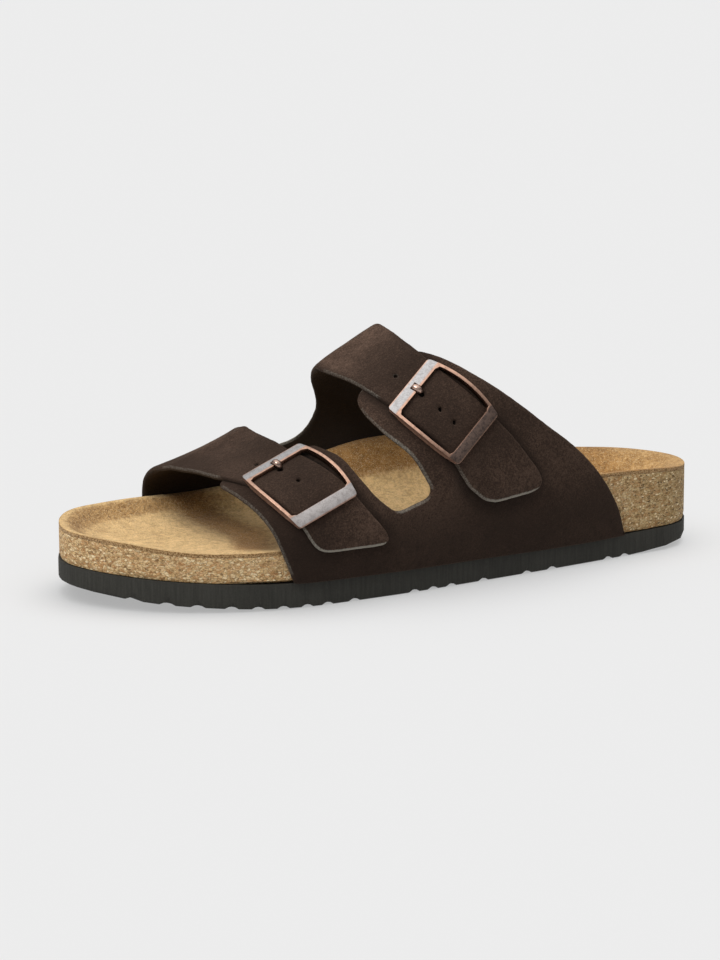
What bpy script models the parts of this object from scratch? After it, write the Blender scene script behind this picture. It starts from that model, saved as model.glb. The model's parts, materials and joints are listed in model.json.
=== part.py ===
"""Two-strap buckle sandal for the left foot, standing empty on its sole.

+X points to the toe, +Y to the outer side of the foot and +Z up, with the origin at the
middle of the underside of the bounding box. Sizes are in millimetres and are scaled by MM.
Stations run along the shoe from the back of the heel. Girths run round the last from its
crown, 0, to the sole's edge, 100 on the outer side and -100 on the inner side, and the flat
leather patterns are drawn in stations and girths.
"""

import math
from collections import namedtuple

import bmesh
import bpy
import numpy as np
from mathutils import Matrix, Vector

MM = 0.001
OBJECT_NAME = "buckle_sandal"

# Clearances and walls
GAP = 0.3 * MM
LEATHER = 2.4 * MM
LEATHER_FUSE = 0.6 * MM
INSOLE = 1.2 * MM
SOLE_EDGE = 0.4 * MM
SOLE_BEVEL = 1.2 * MM
HALF_GIRTH = 100 * MM
LAST_SQUARENESS = 0.88
LAST_SAMPLES = 48
NORMAL_STEP = 2 * MM
WELD = 0.001 * MM
SHARP_ANGLE = math.radians(35)

# The outsole's toe spring is a parabola that starts at a station
SPRING_START = 190 * MM
SPRING_RISE = 6.2 * MM

# Both ends of its underside lift further: station of the lift's start, station of the end, rise
END_LIFTS = ((26, 0, 4.0), (250, 280, 3.2))

# The footbed's rings start from a spine between the middles of heel and toe
HEEL_CENTRE = 34 * MM
TOE_CENTRE = 234 * MM
RIM_FLAT = 1.6 * MM
BED_RINGS = tuple(MM * inset for inset in (0, 1.6, 3.6, 6.2, 9.6, 14, 20))
SEAT_RINGS = tuple(MM * inset for inset in (0, 22))
DISH_REACH = 36 * MM
HALF_LOOP_STEPS = 30
OUTLINE_SAMPLES = 720

# Tread: cross grooves that wave from side to side between the lugs
GROOVE_STATIONS = (44, 53, 83, 96, 118, 134, 143, 152, 180, 192, 201, 211, 221, 231, 243, 253, 263)
GROOVE_PROFILE = ((-2.6, 0.0), (-1.3, 1.5), (0.0, 1.9), (1.3, 1.5), (2.6, 0.0))
GROOVE_CLEARANCE = 4.2 * MM
WAVE_HEIGHT = 3.0 * MM
WAVE_LENGTH = 42 * MM
WAVE_END_ROOM = 24 * MM
TREAD_COLUMNS = 9
TREAD_STEPS = 22
TREAD_END = 0.4 * MM

# Leather is drawn on a grid of these steps before it goes round the last
STATION_STEP = 7 * MM
GIRTH_STEP = 6 * MM
EDGE_STEPS = 12
CORNER_STEPS = 4
FLAT_BLEND = 12 * MM
STRAP_LEVEL_GIRTH = -25 * MM
STRAP_RAISED_GIRTH = 27 * MM

# Buckles: the frame lies across the strap, its bars over the leather and its rails beside it
FRAME_LENGTH = 33.5 * MM
FRAME_WIDTH = 30.0 * MM
FRAME_BAR = 4.8 * MM
FRAME_RAIL = 1.3 * MM
FRAME_THICKNESS = 1.8 * MM
FRAME_RAIL_DROP = 1.0 * MM
FRAME_CORNER = 2.0 * MM
FRAME_CHAMFER = 0.35 * MM
FRAME_SIDE_STEPS = 6
SEAT_SPAN = 4
SEAT_SAMPLES = 65
PRONG_HOLE_RADIUS = 1.5 * MM
PRONG_HOLE_SIDES = 12
PRONG_HOLE_INSET = 8.0 * MM
NOTCH_WIDTH = 2.7 * MM
NOTCH_LENGTH = 2.6 * MM
NOTCH_FLOOR = 0.6 * MM

# Prong from inside its hole to its tip on the bar: share of the way, height, radius
PRONG_PATH = (
    (0.00, -1.20, 0.85),
    (0.00, 0.40, 0.85),
    (0.05, 1.05, 0.85),
    (0.20, 2.05, 0.85),
    (0.70, 2.20, 0.85),
    (1.00, 2.20, 0.75),
)
PRONG_TIP_REACH = 2.1 * MM

# Footbed outline from above, once round from the heel by the outer side: along, across
OUTLINE = (
    (0, 0),
    (13.5, 24.5),
    (50, 32.5),
    (110, 41),
    (175, 47.5),
    (220, 45.5),
    (258.5, 26.5),
    (279, -5),
    (269, -34.5),
    (238, -49.5),
    (195, -51.5),
    (125, -37.5),
    (50, -33),
    (14, -24.5),
)

# Pad and toe ridge raise the floor of the bed: along, across, height, length, width
BED_SWELLS = (
    (165, -4, 2.6, 24, 22),
    (224, -4, 2.0, 11, 40),
)

Finish = namedtuple("Finish", "colour roughness metallic")
FINISHES = {
    "outsole": Finish((0.040, 0.040, 0.036), 0.75, 0.0),
    "cork": Finish((0.380, 0.235, 0.110), 0.85, 0.0),
    "lining": Finish((0.430, 0.270, 0.130), 0.95, 0.0),
    "suede": Finish((0.034, 0.019, 0.014), 0.95, 0.0),
    "copper": Finish((0.420, 0.250, 0.190), 0.35, 1.0),
}

# A leather piece has two strips that run from a base at the sole's edge to their own tips, with
# a window between them. Tips are the girths of a strip's leading and trailing corners.
Piece = namedtuple("Piece", "sides window base window_end front_tip rear_tip tip_reach window_reach")

# A buckle's middle on its strap, and the step along the pattern from its middle to its lower bar
Buckle = namedtuple("Buckle", "station girth station_step girth_step")


def smooth(knots, values, places):
    """Cubic curve through the values at their knots, read at the given places."""
    slopes = np.gradient(values, knots)
    i = np.clip(np.searchsorted(knots, places, side="right") - 1, 0, len(knots) - 2)
    span = knots[i + 1] - knots[i]
    t = (places - knots[i]) / span
    start = (1 + 2 * t) * (1 - t) ** 2 * values[i] + t * (1 - t) ** 2 * span * slopes[i]
    end = t * t * (3 - 2 * t) * values[i + 1] + t * t * (t - 1) * span * slopes[i + 1]
    return start + end


def ease(t):
    """A step from 0 to 1 with level ends."""
    t = np.clip(t, 0.0, 1.0)
    return t * t * (3 - 2 * t)


class Table:
    """Rows of named columns in millimetres, read by a smooth curve along the first column."""

    def __init__(self, names, *rows):
        self.names = names.split()
        ordered = np.array(sorted(rows), float) * MM
        self.columns = dict(zip(self.names, ordered.T))

    def read(self, name, places):
        return smooth(self.columns[self.names[0]], self.columns[name], places)


# Cross-sections of the sole: outsole thickness, height of the footbed's rim on both sides, height
# of its floor, how far in from the rim its walls reach, and how much of the floor's drop is left
# to a shallow dish inside the walls
SECTIONS = Table(
    "along sole rim_outer rim_inner floor fall_outer fall_inner dish",
    (0, 10.4, 33.5, 33.5, 24.0, 20, 20, 0.0),
    (35, 9.4, 36.0, 35.0, 22.5, 22, 22, 0.0),
    (70, 8.8, 37.0, 39.5, 23.0, 22, 26, 0.0),
    (100, 9.1, 36.6, 45.5, 23.5, 22, 30, 0.0),
    (122, 9.4, 35.5, 47.5, 23.0, 20, 30, 0.0),
    (142, 9.6, 33.8, 44.3, 22.3, 19, 28, 0.0),
    (162, 9.7, 30.8, 37.0, 21.3, 16, 24, 1.0),
    (182, 9.8, 27.0, 31.0, 20.0, 13, 18, 2.0),
    (205, 9.8, 24.0, 28.4, 18.8, 9, 11, 3.5),
    (245, 9.4, 23.8, 28.8, 19.0, 8, 8, 4.6),
    (280, 8.5, 26.5, 26.5, 21.0, 8, 8, 3.0),
)

# Ridge of the last, from over the heel to over the toes
CROWN = Table(
    "along across height",
    (20, -4, 120),
    (60, -6, 122),
    (100, -8, 115),
    (137, -10, 95.5),
    (152, -11, 87.2),
    (167, -12.5, 77.5),
    (182, -14.5, 65.5),
    (196, -16, 56.5),
    (215, -17.5, 48.3),
    (234, -18, 42.2),
    (262, -18, 38),
)

# Inner quarter with the two straps: it starts at the inner sole edge and crosses the foot
STRAPS = Piece(
    sides=Table(
        "girth front_lead rear_trail",
        (-100, 228.5, 47.5),
        (-92, 228, 50.5),
        (-80, 227.5, 58.5),
        (-68, 227, 73.5),
        (-58, 227.5, 91),
        (-45, 228, 113),
        (-25, 229, 131),
        (0, 228.5, 135.5),
        (20, 225, 136.5),
        (34, 222, 134),
        (47, 217.3, 122.8),
        (60, 212, 110),
        (72, 207.5, 97.5),
        (90, 200, 75),
    ),
    window=Table(
        "girth front_trail rear_lead",
        (-60, 178, 155),
        (-45, 186.5, 152.5),
        (-25, 192.5, 158.5),
        (0, 195, 163.5),
        (20, 195, 162),
        (34, 192.5, 158.5),
        (47, 189, 151.5),
        (60, 184, 140.5),
        (72, 179, 130.5),
        (90, 163, 107),
    ),
    base=-100 * MM,
    window_end=-58.5 * MM,
    front_tip=(87.5 * MM, 88.5 * MM),
    rear_tip=(80.5 * MM, 78.5 * MM),
    tip_reach=(12 * MM, 6 * MM),
    window_reach=13 * MM,
)

# Outer quarter with the two buckle tabs, under the straps
OUTER_QUARTER = Piece(
    sides=Table(
        "girth front_lead rear_trail",
        (25, 220.5, 138),
        (40, 221.5, 121),
        (50, 220.5, 106),
        (60, 219.5, 87.5),
        (70, 217.5, 70),
        (80, 214.5, 58.5),
        (90, 211, 51),
        (100, 207.5, 47.5),
    ),
    window=Table(
        "girth front_trail rear_lead",
        (25, 185, 162),
        (40, 183, 162.5),
        (50, 179, 159.5),
        (60, 176, 153.5),
        (70, 170.5, 146.5),
        (80, 160, 139),
    ),
    base=100 * MM,
    window_end=77.5 * MM,
    front_tip=(37 * MM, 37 * MM),
    rear_tip=(29 * MM, 28 * MM),
    tip_reach=(6 * MM, 6 * MM),
    window_reach=10 * MM,
)

BUCKLES = {
    "front": Buckle(198.5 * MM, 58.5 * MM, -5.0 * MM, 14.0 * MM),
    "rear": Buckle(135.5 * MM, 48.5 * MM, -10.0 * MM, 11.6 * MM),
}


class Plan:
    """The footbed's outline moved outwards by an offset, as an outer and an inner edge."""

    def __init__(self, offset):
        points = np.array(OUTLINE, float) * MM
        wrapped = np.vstack([points[-3:], points, points[:4]])
        steps = np.sqrt(np.linalg.norm(np.diff(wrapped, axis=0), axis=1))
        knots = np.concatenate([[0.0], np.cumsum(steps)])
        places = np.linspace(knots[3], knots[3 + len(points)], OUTLINE_SAMPLES, endpoint=False)
        curve = np.column_stack([smooth(knots, wrapped[:, k], places) for k in (0, 1)])
        ahead = np.roll(curve, -1, axis=0) - np.roll(curve, 1, axis=0)
        outward = np.column_stack([-ahead[:, 1], ahead[:, 0]])
        curve = curve + offset * outward / np.linalg.norm(outward, axis=1)[:, None]
        curve = np.roll(curve, -int(np.argmin(curve[:, 0])), axis=0)
        toe = int(np.argmax(curve[:, 0]))
        self.heel = curve[0, 0]
        self.toe = curve[toe, 0]
        self.edges = {1: curve[: toe + 1], -1: np.vstack([curve[toe:], curve[:1]])[::-1]}

    def across(self, station, side):
        return np.interp(station, self.edges[side][:, 0], self.edges[side][:, 1])

    def middle(self, station):
        return (self.across(station, 1) + self.across(station, -1)) / 2


BED_PLAN = Plan(0.0)
TREAD_PLAN = Plan(SOLE_EDGE)


def spring(station):
    """Rise of the whole sole towards the toe."""
    run = np.clip((station - SPRING_START) / (TREAD_PLAN.toe - SPRING_START), 0.0, None)
    return SPRING_RISE * run**2


def ground(station):
    """Height of the outsole's underside, before its grooves."""
    height = spring(station)
    for start, end, rise in np.array(END_LIFTS) * MM:
        height = height + rise * np.clip((station - start) / (end - start), 0.0, None) ** 2
    return height


def seat(station):
    """Height of the outsole's top."""
    return spring(station) + SECTIONS.read("sole", station)


def rim(station, side):
    return SECTIONS.read("rim_outer" if side > 0 else "rim_inner", station)


def make_material(name):
    finish = FINISHES[name]
    material = bpy.data.materials.new(name)
    material.use_nodes = True
    shader = material.node_tree.nodes["Principled BSDF"]
    shader.inputs["Base Color"].default_value = (*finish.colour, 1.0)
    shader.inputs["Roughness"].default_value = finish.roughness
    shader.inputs["Metallic"].default_value = finish.metallic
    material.diffuse_color = (*finish.colour, 1.0)
    return material


def add_object(name, mesh, collection, root, material=None):
    """A mesh as a named object of the shoe; without a material it is a hidden helper."""
    obj = bpy.data.objects.new(name, mesh)
    obj.parent = root
    collection.objects.link(obj)
    if material is None:
        obj.hide_render = True
        obj.display_type = "WIRE"
    else:
        mesh.materials.append(material)
        mesh.shade_smooth()
        mesh.set_sharp_from_angle(angle=SHARP_ANGLE)
    return obj


def mesh_of(bm, name):
    bmesh.ops.recalc_face_normals(bm, faces=bm.faces)
    mesh = bpy.data.meshes.new(name)
    bm.to_mesh(mesh)
    bm.free()
    return mesh


def loft(name, loops, capped=False, ring=False):
    """Skin over closed loops of equally many points; capped ends it flat, ring joins last to first."""
    bm = bmesh.new()
    rows = [[bm.verts.new(point) for point in loop] for loop in loops]
    pairs = list(zip(rows, rows[1:]))
    if ring:
        pairs.append((rows[-1], rows[0]))
    for first, second in pairs:
        for i, corner in enumerate(first):
            j = (i + 1) % len(first)
            bm.faces.new((corner, first[j], second[j], second[i]))
    if capped:
        bm.faces.new(rows[0])
        bm.faces.new(rows[-1])
    bmesh.ops.remove_doubles(bm, verts=bm.verts, dist=WELD)
    bmesh.ops.triangulate(bm, faces=bm.faces, quad_method="SHORT_EDGE")
    return mesh_of(bm, name)


def loop_stations():
    """Stations round the footbed, out along the outer side and back along the inner, with sides."""
    turns = np.pi * np.arange(HALF_LOOP_STEPS + 1) / HALF_LOOP_STEPS
    out = BED_PLAN.heel + (BED_PLAN.toe - BED_PLAN.heel) * (1 - np.cos(turns)) / 2
    stations = np.concatenate([out, out[-2:0:-1]])
    sides = np.where(np.arange(len(stations)) <= HALF_LOOP_STEPS, 1, -1)
    return stations, sides


def bed_ring(inset):
    """Plan points of a loop set in from the outline; an inset of None gives the spine."""
    stations, sides = loop_stations()
    edge = np.array([(s, BED_PLAN.across(s, side)) for s, side in zip(stations, sides)])
    inner = np.clip(stations, HEEL_CENTRE, TOE_CENTRE)
    spine = np.column_stack([inner, BED_PLAN.middle(inner)])
    if inset is None:
        return spine
    away = spine - edge
    return edge + away * (inset / np.linalg.norm(away, axis=1))[:, None]


def bed_top(points, inset):
    """Height of the insole's top at the points of one ring."""
    stations, sides = loop_stations()
    floor = SECTIONS.read("floor", points[:, 0])
    for along, across, height, length, width in np.array(BED_SWELLS) * MM:
        reach = ((points[:, 0] - along) / length) ** 2 + ((points[:, 1] - across) / width) ** 2
        floor = floor + height * np.exp(-reach)
    if inset is None:
        return floor
    outer = sides > 0
    edge = np.where(outer, rim(stations, 1), rim(stations, -1))
    fall = np.where(
        outer, SECTIONS.read("fall_outer", stations), SECTIONS.read("fall_inner", stations)
    )
    dish = SECTIONS.read("dish", stations)
    wall = (edge - floor - dish) * ease((inset - RIM_FLAT) / fall)
    return edge - wall - dish * ease(inset / DISH_REACH)


def bed_surface(drop):
    """Loops of the bed's top from its rim to its spine, lowered by a drop."""
    loops = []
    for inset in (*BED_RINGS, None):
        points = bed_ring(inset)
        loops.append(np.column_stack([points, bed_top(points, inset) - drop]))
    return loops


def insole_mesh():
    return loft("insole", bed_surface(INSOLE)[::-1] + bed_surface(0.0))


def footbed_mesh():
    under = []
    for inset in (*SEAT_RINGS, None):
        points = bed_ring(inset)
        under.append(np.column_stack([points, seat(points[:, 0]) + GAP]))
    return loft("footbed", under[::-1] + bed_surface(INSOLE + GAP))


def tread_rows():
    """Stations of the outsole's cross-sections with the depth of the tread at each."""
    start = TREAD_PLAN.heel + TREAD_END
    end = TREAD_PLAN.toe - TREAD_END
    turns = np.pi * np.arange(TREAD_STEPS + 1) / TREAD_STEPS
    plain = start + (end - start) * (1 - np.cos(turns)) / 2
    rows = []
    for middle in GROOVE_STATIONS:
        rows += [((middle + step) * MM, depth * MM) for step, depth in GROOVE_PROFILE]
    for station in plain:
        if min(abs(station - middle * MM) for middle in GROOVE_STATIONS) > GROOVE_CLEARANCE:
            rows.append((station, 0.0))
    return sorted(rows)


def tread_section(station, depth):
    """One closed cross-section of the outsole, with the waving underside between its bevels."""
    outer = TREAD_PLAN.across(station, 1)
    inner = TREAD_PLAN.across(station, -1)
    top = seat(station)
    low = ground(station) + depth
    shares = np.linspace(-1.0, 1.0, TREAD_COLUMNS)
    across = (outer + inner) / 2 + shares * ((outer - inner) / 2 - SOLE_BEVEL)
    wave = WAVE_HEIGHT * np.sin(2 * np.pi * across / WAVE_LENGTH) * (1 - shares**4)
    end_room = min(station - TREAD_PLAN.heel, TREAD_PLAN.toe - station)
    wave = wave * ease(end_room / WAVE_END_ROOM)
    under = [(station + shift, y, low) for shift, y in zip(wave, across)]
    outer_side = [(station, outer, low + SOLE_BEVEL), (station, outer, top)]
    inner_side = [(station, inner, top), (station, inner, low + SOLE_BEVEL)]
    return under + outer_side + [(station, (outer + inner) / 2, top)] + inner_side


def outsole_mesh():
    return loft("outsole", [tread_section(*row) for row in tread_rows()], capped=True)


def last_point(station, girth):
    """Point of the last's surface: up the footbed's side, then a squared quarter oval to the crown."""
    side = 1 if girth >= 0 else -1
    edge = BED_PLAN.across(station, side)
    crown = CROWN.read("across", station)
    top = CROWN.read("height", station)
    low = rim(station, side)
    turn = np.linspace(np.pi / 2, 0, LAST_SAMPLES)
    flat = np.abs(np.cos(turn)) ** LAST_SQUARENESS
    steep = np.abs(np.sin(turn)) ** LAST_SQUARENESS
    across = np.append(crown + (edge - crown) * flat, edge)
    height = np.append(low + (top - low) * steep, seat(station) + GAP)
    run = np.concatenate([[0.0], np.cumsum(np.hypot(np.diff(across), np.diff(height)))])
    place = run[-1] * min(abs(girth) / HALF_GIRTH, 1.0)
    return Vector((station, np.interp(place, run, across), np.interp(place, run, height)))


def last_normal(station, girth):
    along = last_point(station + NORMAL_STEP, girth) - last_point(station - NORMAL_STEP, girth)
    ahead = min(girth + NORMAL_STEP, HALF_GIRTH)
    behind = max(girth - NORMAL_STEP, -HALF_GIRTH)
    return along.cross(last_point(station, ahead) - last_point(station, behind)).normalized()


def strap_lift(girth):
    """The straps rise from the last onto the tabs of the outer quarter."""
    share = (girth - STRAP_LEVEL_GIRTH) / (STRAP_RAISED_GIRTH - STRAP_LEVEL_GIRTH)
    return (LEATHER - LEATHER_FUSE) * ease(share)


def strap_top(station, girth):
    """Point on the outer face of a strap."""
    height = GAP + strap_lift(girth) + LEATHER
    return last_point(station, girth) + last_normal(station, girth) * height


def trimmed(points, reach):
    """A run of points shortened by a reach at its start."""
    lengths = np.concatenate([[0.0], np.cumsum(np.linalg.norm(np.diff(points, axis=0), axis=1))])
    first = np.array([np.interp(reach, lengths, points[:, k]) for k in (0, 1)])
    return np.vstack([first, points[lengths > reach + WELD]])


def rounded_outline(edges, reaches):
    """Edges joined end to end, each joint rounded by its reach along both edges."""
    outline = []
    for i, edge in enumerate(edges):
        after = reaches[i]
        before = reaches[i - 1]
        if before:
            edge = trimmed(edge, before)
        if after:
            edge = trimmed(edge[::-1], after)[::-1]
        outline += list(edge if after else edge[:-1])
        if after:
            corner = edges[i][-1]
            end = trimmed(edges[(i + 1) % len(edges)], after)[0]
            for t in np.arange(1, CORNER_STEPS) / CORNER_STEPS:
                outline.append((1 - t) ** 2 * edge[-1] + 2 * t * (1 - t) * corner + t * t * end)
    return np.array(outline)


def piece_outline(piece):
    """Closed flat outline of a leather piece in stations and girths."""

    def run(table, name, start, stop):
        girths = np.linspace(start, stop, EDGE_STEPS)
        return np.column_stack([table.read(name, girths), girths])

    front_lead = run(piece.sides, "front_lead", piece.front_tip[0], piece.base)
    rear_trail = run(piece.sides, "rear_trail", piece.base, piece.rear_tip[1])
    rear_lead = run(piece.window, "rear_lead", piece.rear_tip[0], piece.window_end)
    front_trail = run(piece.window, "front_trail", piece.window_end, piece.front_tip[1])
    sides = [front_lead, rear_trail, rear_lead, front_trail]
    lead, trail = piece.tip_reach
    edges = []
    for i, side in enumerate(sides):
        following = sides[(i + 1) % len(sides)]
        edges += [side, np.linspace(side[-1], following[0], EDGE_STEPS)]
    reaches = [0, 0, trail, lead, piece.window_reach, piece.window_reach, trail, lead]
    return rounded_outline(edges, reaches)


def leather_mesh(name, piece, lift, seats):
    """A flat pattern cut on a grid, wrapped on the last, pressed flat at the buckles' seats."""
    bm = bmesh.new()
    outline = piece_outline(piece)
    edge = [bm.verts.new((station, girth, 0.0)) for station, girth in outline]
    edges = [bm.edges.new(pair) for pair in zip(edge, edge[1:] + edge[:1])]
    bmesh.ops.contextual_create(bm, geom=edges)
    low = outline.min(axis=0)
    high = outline.max(axis=0)
    cuts = [((s, 0, 0), (1, 0, 0)) for s in np.arange(low[0], high[0], STATION_STEP)[1:]]
    cuts += [((0, g, 0), (0, 1, 0)) for g in np.arange(low[1], high[1], GIRTH_STEP)[1:]]
    for place, normal in cuts:
        whole = bm.verts[:] + bm.edges[:] + bm.faces[:]
        bmesh.ops.bisect_plane(bm, geom=whole, dist=WELD, plane_co=place, plane_no=normal)
    inner = bm.verts[:]
    raised = bmesh.ops.extrude_face_region(bm, geom=bm.faces[:], use_keep_orig=True)
    outer = [item for item in raised["geom"] if isinstance(item, bmesh.types.BMVert)]
    for verts, depth in ((inner, 0.0), (outer, LEATHER)):
        for vert in verts:
            station, girth, _ = vert.co
            height = GAP + lift(girth) + depth
            vert.co = last_point(station, girth) + last_normal(station, girth) * height
            for seat_on in seats:
                vert.co += seat_on.press(station, girth)
    return mesh_of(bm, name)


class BuckleSeat:
    """A buckle's own frame on its strap: along the strap, across it, and out from the leather."""

    def __init__(self, buckle):
        self.buckle = buckle
        self.middle = self.on_strap(0.0)
        self.along = (self.on_strap(1.0) - self.on_strap(-1.0)).normalized()
        out = last_normal(buckle.station, buckle.girth)
        self.across = out.cross(self.along).normalized()
        self.out = self.along.cross(self.across).normalized()
        shares = np.linspace(-SEAT_SPAN, SEAT_SPAN, SEAT_SAMPLES)
        steps = [self.on_strap(share) - self.middle for share in shares]
        self.runs = np.array([step.dot(self.along) for step in steps])
        self.rises = np.array([step.dot(self.out) for step in steps])

    def on_strap(self, share):
        """Strap point at so many of the buckle's steps from its middle."""
        buckle = self.buckle
        station = buckle.station + share * buckle.station_step
        return strap_top(station, buckle.girth + share * buckle.girth_step)

    def place(self, run, aside, height):
        """Point bent over the strap's curve: run along it, aside across it, height out of it."""
        rise = np.interp(run, self.runs, self.rises)
        slope = np.interp(run, self.runs, np.gradient(self.rises, self.runs))
        out = (self.out - self.along * slope).normalized()
        base = self.middle + self.along * run + self.out * rise
        return base + self.across * aside + out * height

    def press(self, station, girth):
        """Move that brings the leather here onto the frame's own curve, fading out around it."""
        step = strap_top(station, girth) - self.middle
        run = step.dot(self.along)
        beyond = max(abs(run) - FRAME_LENGTH / 2, abs(step.dot(self.across)) - FRAME_WIDTH / 2)
        share = 1 - ease(beyond / FLAT_BLEND) if girth > 0 else 0.0
        over = step.dot(self.out) - np.interp(run, self.runs, self.rises)
        return self.out * (-over * share)

    def matrix(self, run, aside, height):
        turn = Matrix((self.along, self.across, self.out)).transposed().to_4x4()
        return Matrix.Translation(self.place(run, aside, height)) @ turn


def rounded_box(length, width, corner):
    """Plan of a rounded rectangle, with the same number of points whatever its size."""
    centres = [(sx * (length / 2 - corner), sy * (width / 2 - corner)) for sx, sy in
               ((1, 1), (-1, 1), (-1, -1), (1, -1))]
    points = []
    for i, (x, y) in enumerate(centres):
        for turn in np.linspace(i * np.pi / 2, (i + 1) * np.pi / 2, CORNER_STEPS):
            points.append((x + corner * math.cos(turn), y + corner * math.sin(turn)))
        following = centres[(i + 1) % 4]
        aim = (i + 1) * np.pi / 2
        start = np.array((x + corner * math.cos(aim), y + corner * math.sin(aim)))
        stop = np.array(following) + corner * np.array((math.cos(aim), math.sin(aim)))
        points += [start + (stop - start) * k / FRAME_SIDE_STEPS for k in range(1, FRAME_SIDE_STEPS)]
    return np.array(points)


def frame_mesh(name, seat_on):
    """A bent rectangular frame: flat bars at its ends, and rails that drop beside the strap."""
    outer = rounded_box(FRAME_LENGTH, FRAME_WIDTH, FRAME_CORNER)
    inner_length = FRAME_LENGTH - 2 * FRAME_BAR
    inner = rounded_box(inner_length, FRAME_WIDTH - 2 * FRAME_RAIL, FRAME_CORNER / 2)
    sections = []
    for outside, inside in zip(outer, inner):
        toward = (inside - outside) / np.linalg.norm(inside - outside)
        beside = abs(outside[1]) > FRAME_WIDTH / 2 - FRAME_RAIL and abs(outside[0]) < inner_length / 2
        low = -FRAME_RAIL_DROP if beside else GAP
        top = GAP + FRAME_THICKNESS
        chamfer = FRAME_CHAMFER
        profile = (
            (outside, low),
            (outside, top - chamfer),
            (outside + toward * chamfer, top),
            (inside - toward * chamfer, top),
            (inside, top - chamfer),
            (inside, low),
        )
        sections.append([seat_on.place(plan[0], plan[1], height) for plan, height in profile])
    return loft(name, sections, ring=True)


def box_mesh(name, length, width, height):
    bm = bmesh.new()
    bmesh.ops.create_cube(bm, size=1.0)
    bmesh.ops.scale(bm, vec=(length, width, height), verts=bm.verts)
    return mesh_of(bm, name)


def pin_mesh(name, radius, length):
    bm = bmesh.new()
    bmesh.ops.create_cone(
        bm, cap_ends=True, segments=PRONG_HOLE_SIDES, radius1=radius, radius2=radius, depth=length
    )
    return mesh_of(bm, name)


def prong_mesh(name, points):
    """A round pin along points of (place, radius)."""
    curve = bpy.data.curves.new(name, "CURVE")
    curve.dimensions = "3D"
    curve.bevel_depth = 1.0
    curve.bevel_resolution = 2
    curve.use_fill_caps = True
    spline = curve.splines.new("POLY")
    spline.points.add(len(points) - 1)
    for point, (place, radius) in zip(spline.points, points):
        point.co = (*place, 1.0)
        point.radius = radius
    guide = bpy.data.objects.new(name, curve)
    bpy.context.scene.collection.objects.link(guide)
    graph = bpy.context.evaluated_depsgraph_get()
    mesh = bpy.data.meshes.new_from_object(guide.evaluated_get(graph))
    bpy.data.objects.remove(guide)
    bpy.data.curves.remove(curve)
    bm = bmesh.new()
    bm.from_mesh(mesh)
    bpy.data.meshes.remove(mesh)
    bmesh.ops.remove_doubles(bm, verts=bm.verts, dist=WELD)
    return mesh_of(bm, name)


def add_boolean(obj, other, operation):
    modifier = obj.modifiers.new(other.name, "BOOLEAN")
    modifier.object = other
    modifier.operation = operation
    modifier.solver = "EXACT"


def add_buckle(place, on, upper, parts, helpers, root, copper):
    """Frame and prong of one buckle, with the prong's hole in the strap and its notch in the bar."""
    name = f"buckle_frame_{place}"
    frame = add_object(name, frame_mesh(name, on), parts, root, copper)
    bar_inside = -(FRAME_LENGTH / 2 - FRAME_BAR)
    hole_run = -(FRAME_LENGTH / 2 - PRONG_HOLE_INSET)
    hole = add_object(
        f"prong_hole_{place}", pin_mesh("prong_hole", PRONG_HOLE_RADIUS, 2 * LEATHER), helpers, root
    )
    hole.matrix_local = on.matrix(hole_run, 0.0, LEATHER_FUSE)
    add_boolean(upper, hole, "DIFFERENCE")
    notch_floor = GAP + NOTCH_FLOOR
    notch = add_object(
        f"prong_notch_{place}",
        box_mesh("prong_notch", 2 * NOTCH_LENGTH, NOTCH_WIDTH, 2 * FRAME_THICKNESS),
        helpers,
        root,
    )
    notch.matrix_local = on.matrix(bar_inside, 0.0, notch_floor + FRAME_THICKNESS)
    add_boolean(frame, notch, "DIFFERENCE")
    tip_run = bar_inside - PRONG_TIP_REACH
    points = []
    for share, height, radius in PRONG_PATH:
        run = hole_run + (tip_run - hole_run) * share
        points.append((on.place(run, 0.0, height * MM), radius * MM))
    name = f"buckle_prong_{place}"
    add_object(name, prong_mesh(name, points), parts, root, copper)


def centre(parts, root):
    """Moves the shoe so that its bounding box stands centred on the origin."""
    bpy.context.view_layer.update()
    graph = bpy.context.evaluated_depsgraph_get()
    corners = []
    for obj in parts.objects:
        corners += [Vector(corner) for corner in obj.evaluated_get(graph).bound_box]
    low = Vector([min(corner[k] for corner in corners) for k in range(3)])
    high = Vector([max(corner[k] for corner in corners) for k in range(3)])
    root.location = (-(low.x + high.x) / 2, -(low.y + high.y) / 2, -low.z)


def main():
    for obj in list(bpy.data.objects):
        bpy.data.objects.remove(obj)
    scene = bpy.context.scene
    parts = bpy.data.collections.new(OBJECT_NAME)
    helpers = bpy.data.collections.new("cutters")
    scene.collection.children.link(parts)
    scene.collection.children.link(helpers)
    helpers.hide_render = True
    root = bpy.data.objects.new("shoe", None)
    scene.collection.objects.link(root)
    materials = {name: make_material(name) for name in FINISHES}

    add_object("outsole", outsole_mesh(), parts, root, materials["outsole"])
    add_object("footbed", footbed_mesh(), parts, root, materials["cork"])
    add_object("insole", insole_mesh(), parts, root, materials["lining"])
    seats = {place: BuckleSeat(buckle) for place, buckle in BUCKLES.items()}
    straps = leather_mesh("upper", STRAPS, strap_lift, seats.values())
    upper = add_object("upper", straps, parts, root, materials["suede"])
    quarter = leather_mesh("outer_quarter", OUTER_QUARTER, lambda girth: 0.0, seats.values())
    add_boolean(upper, add_object("outer_quarter", quarter, helpers, root), "UNION")
    for place, on in seats.items():
        add_buckle(place, on, upper, parts, helpers, root, materials["copper"])
    centre(parts, root)


main()
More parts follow.
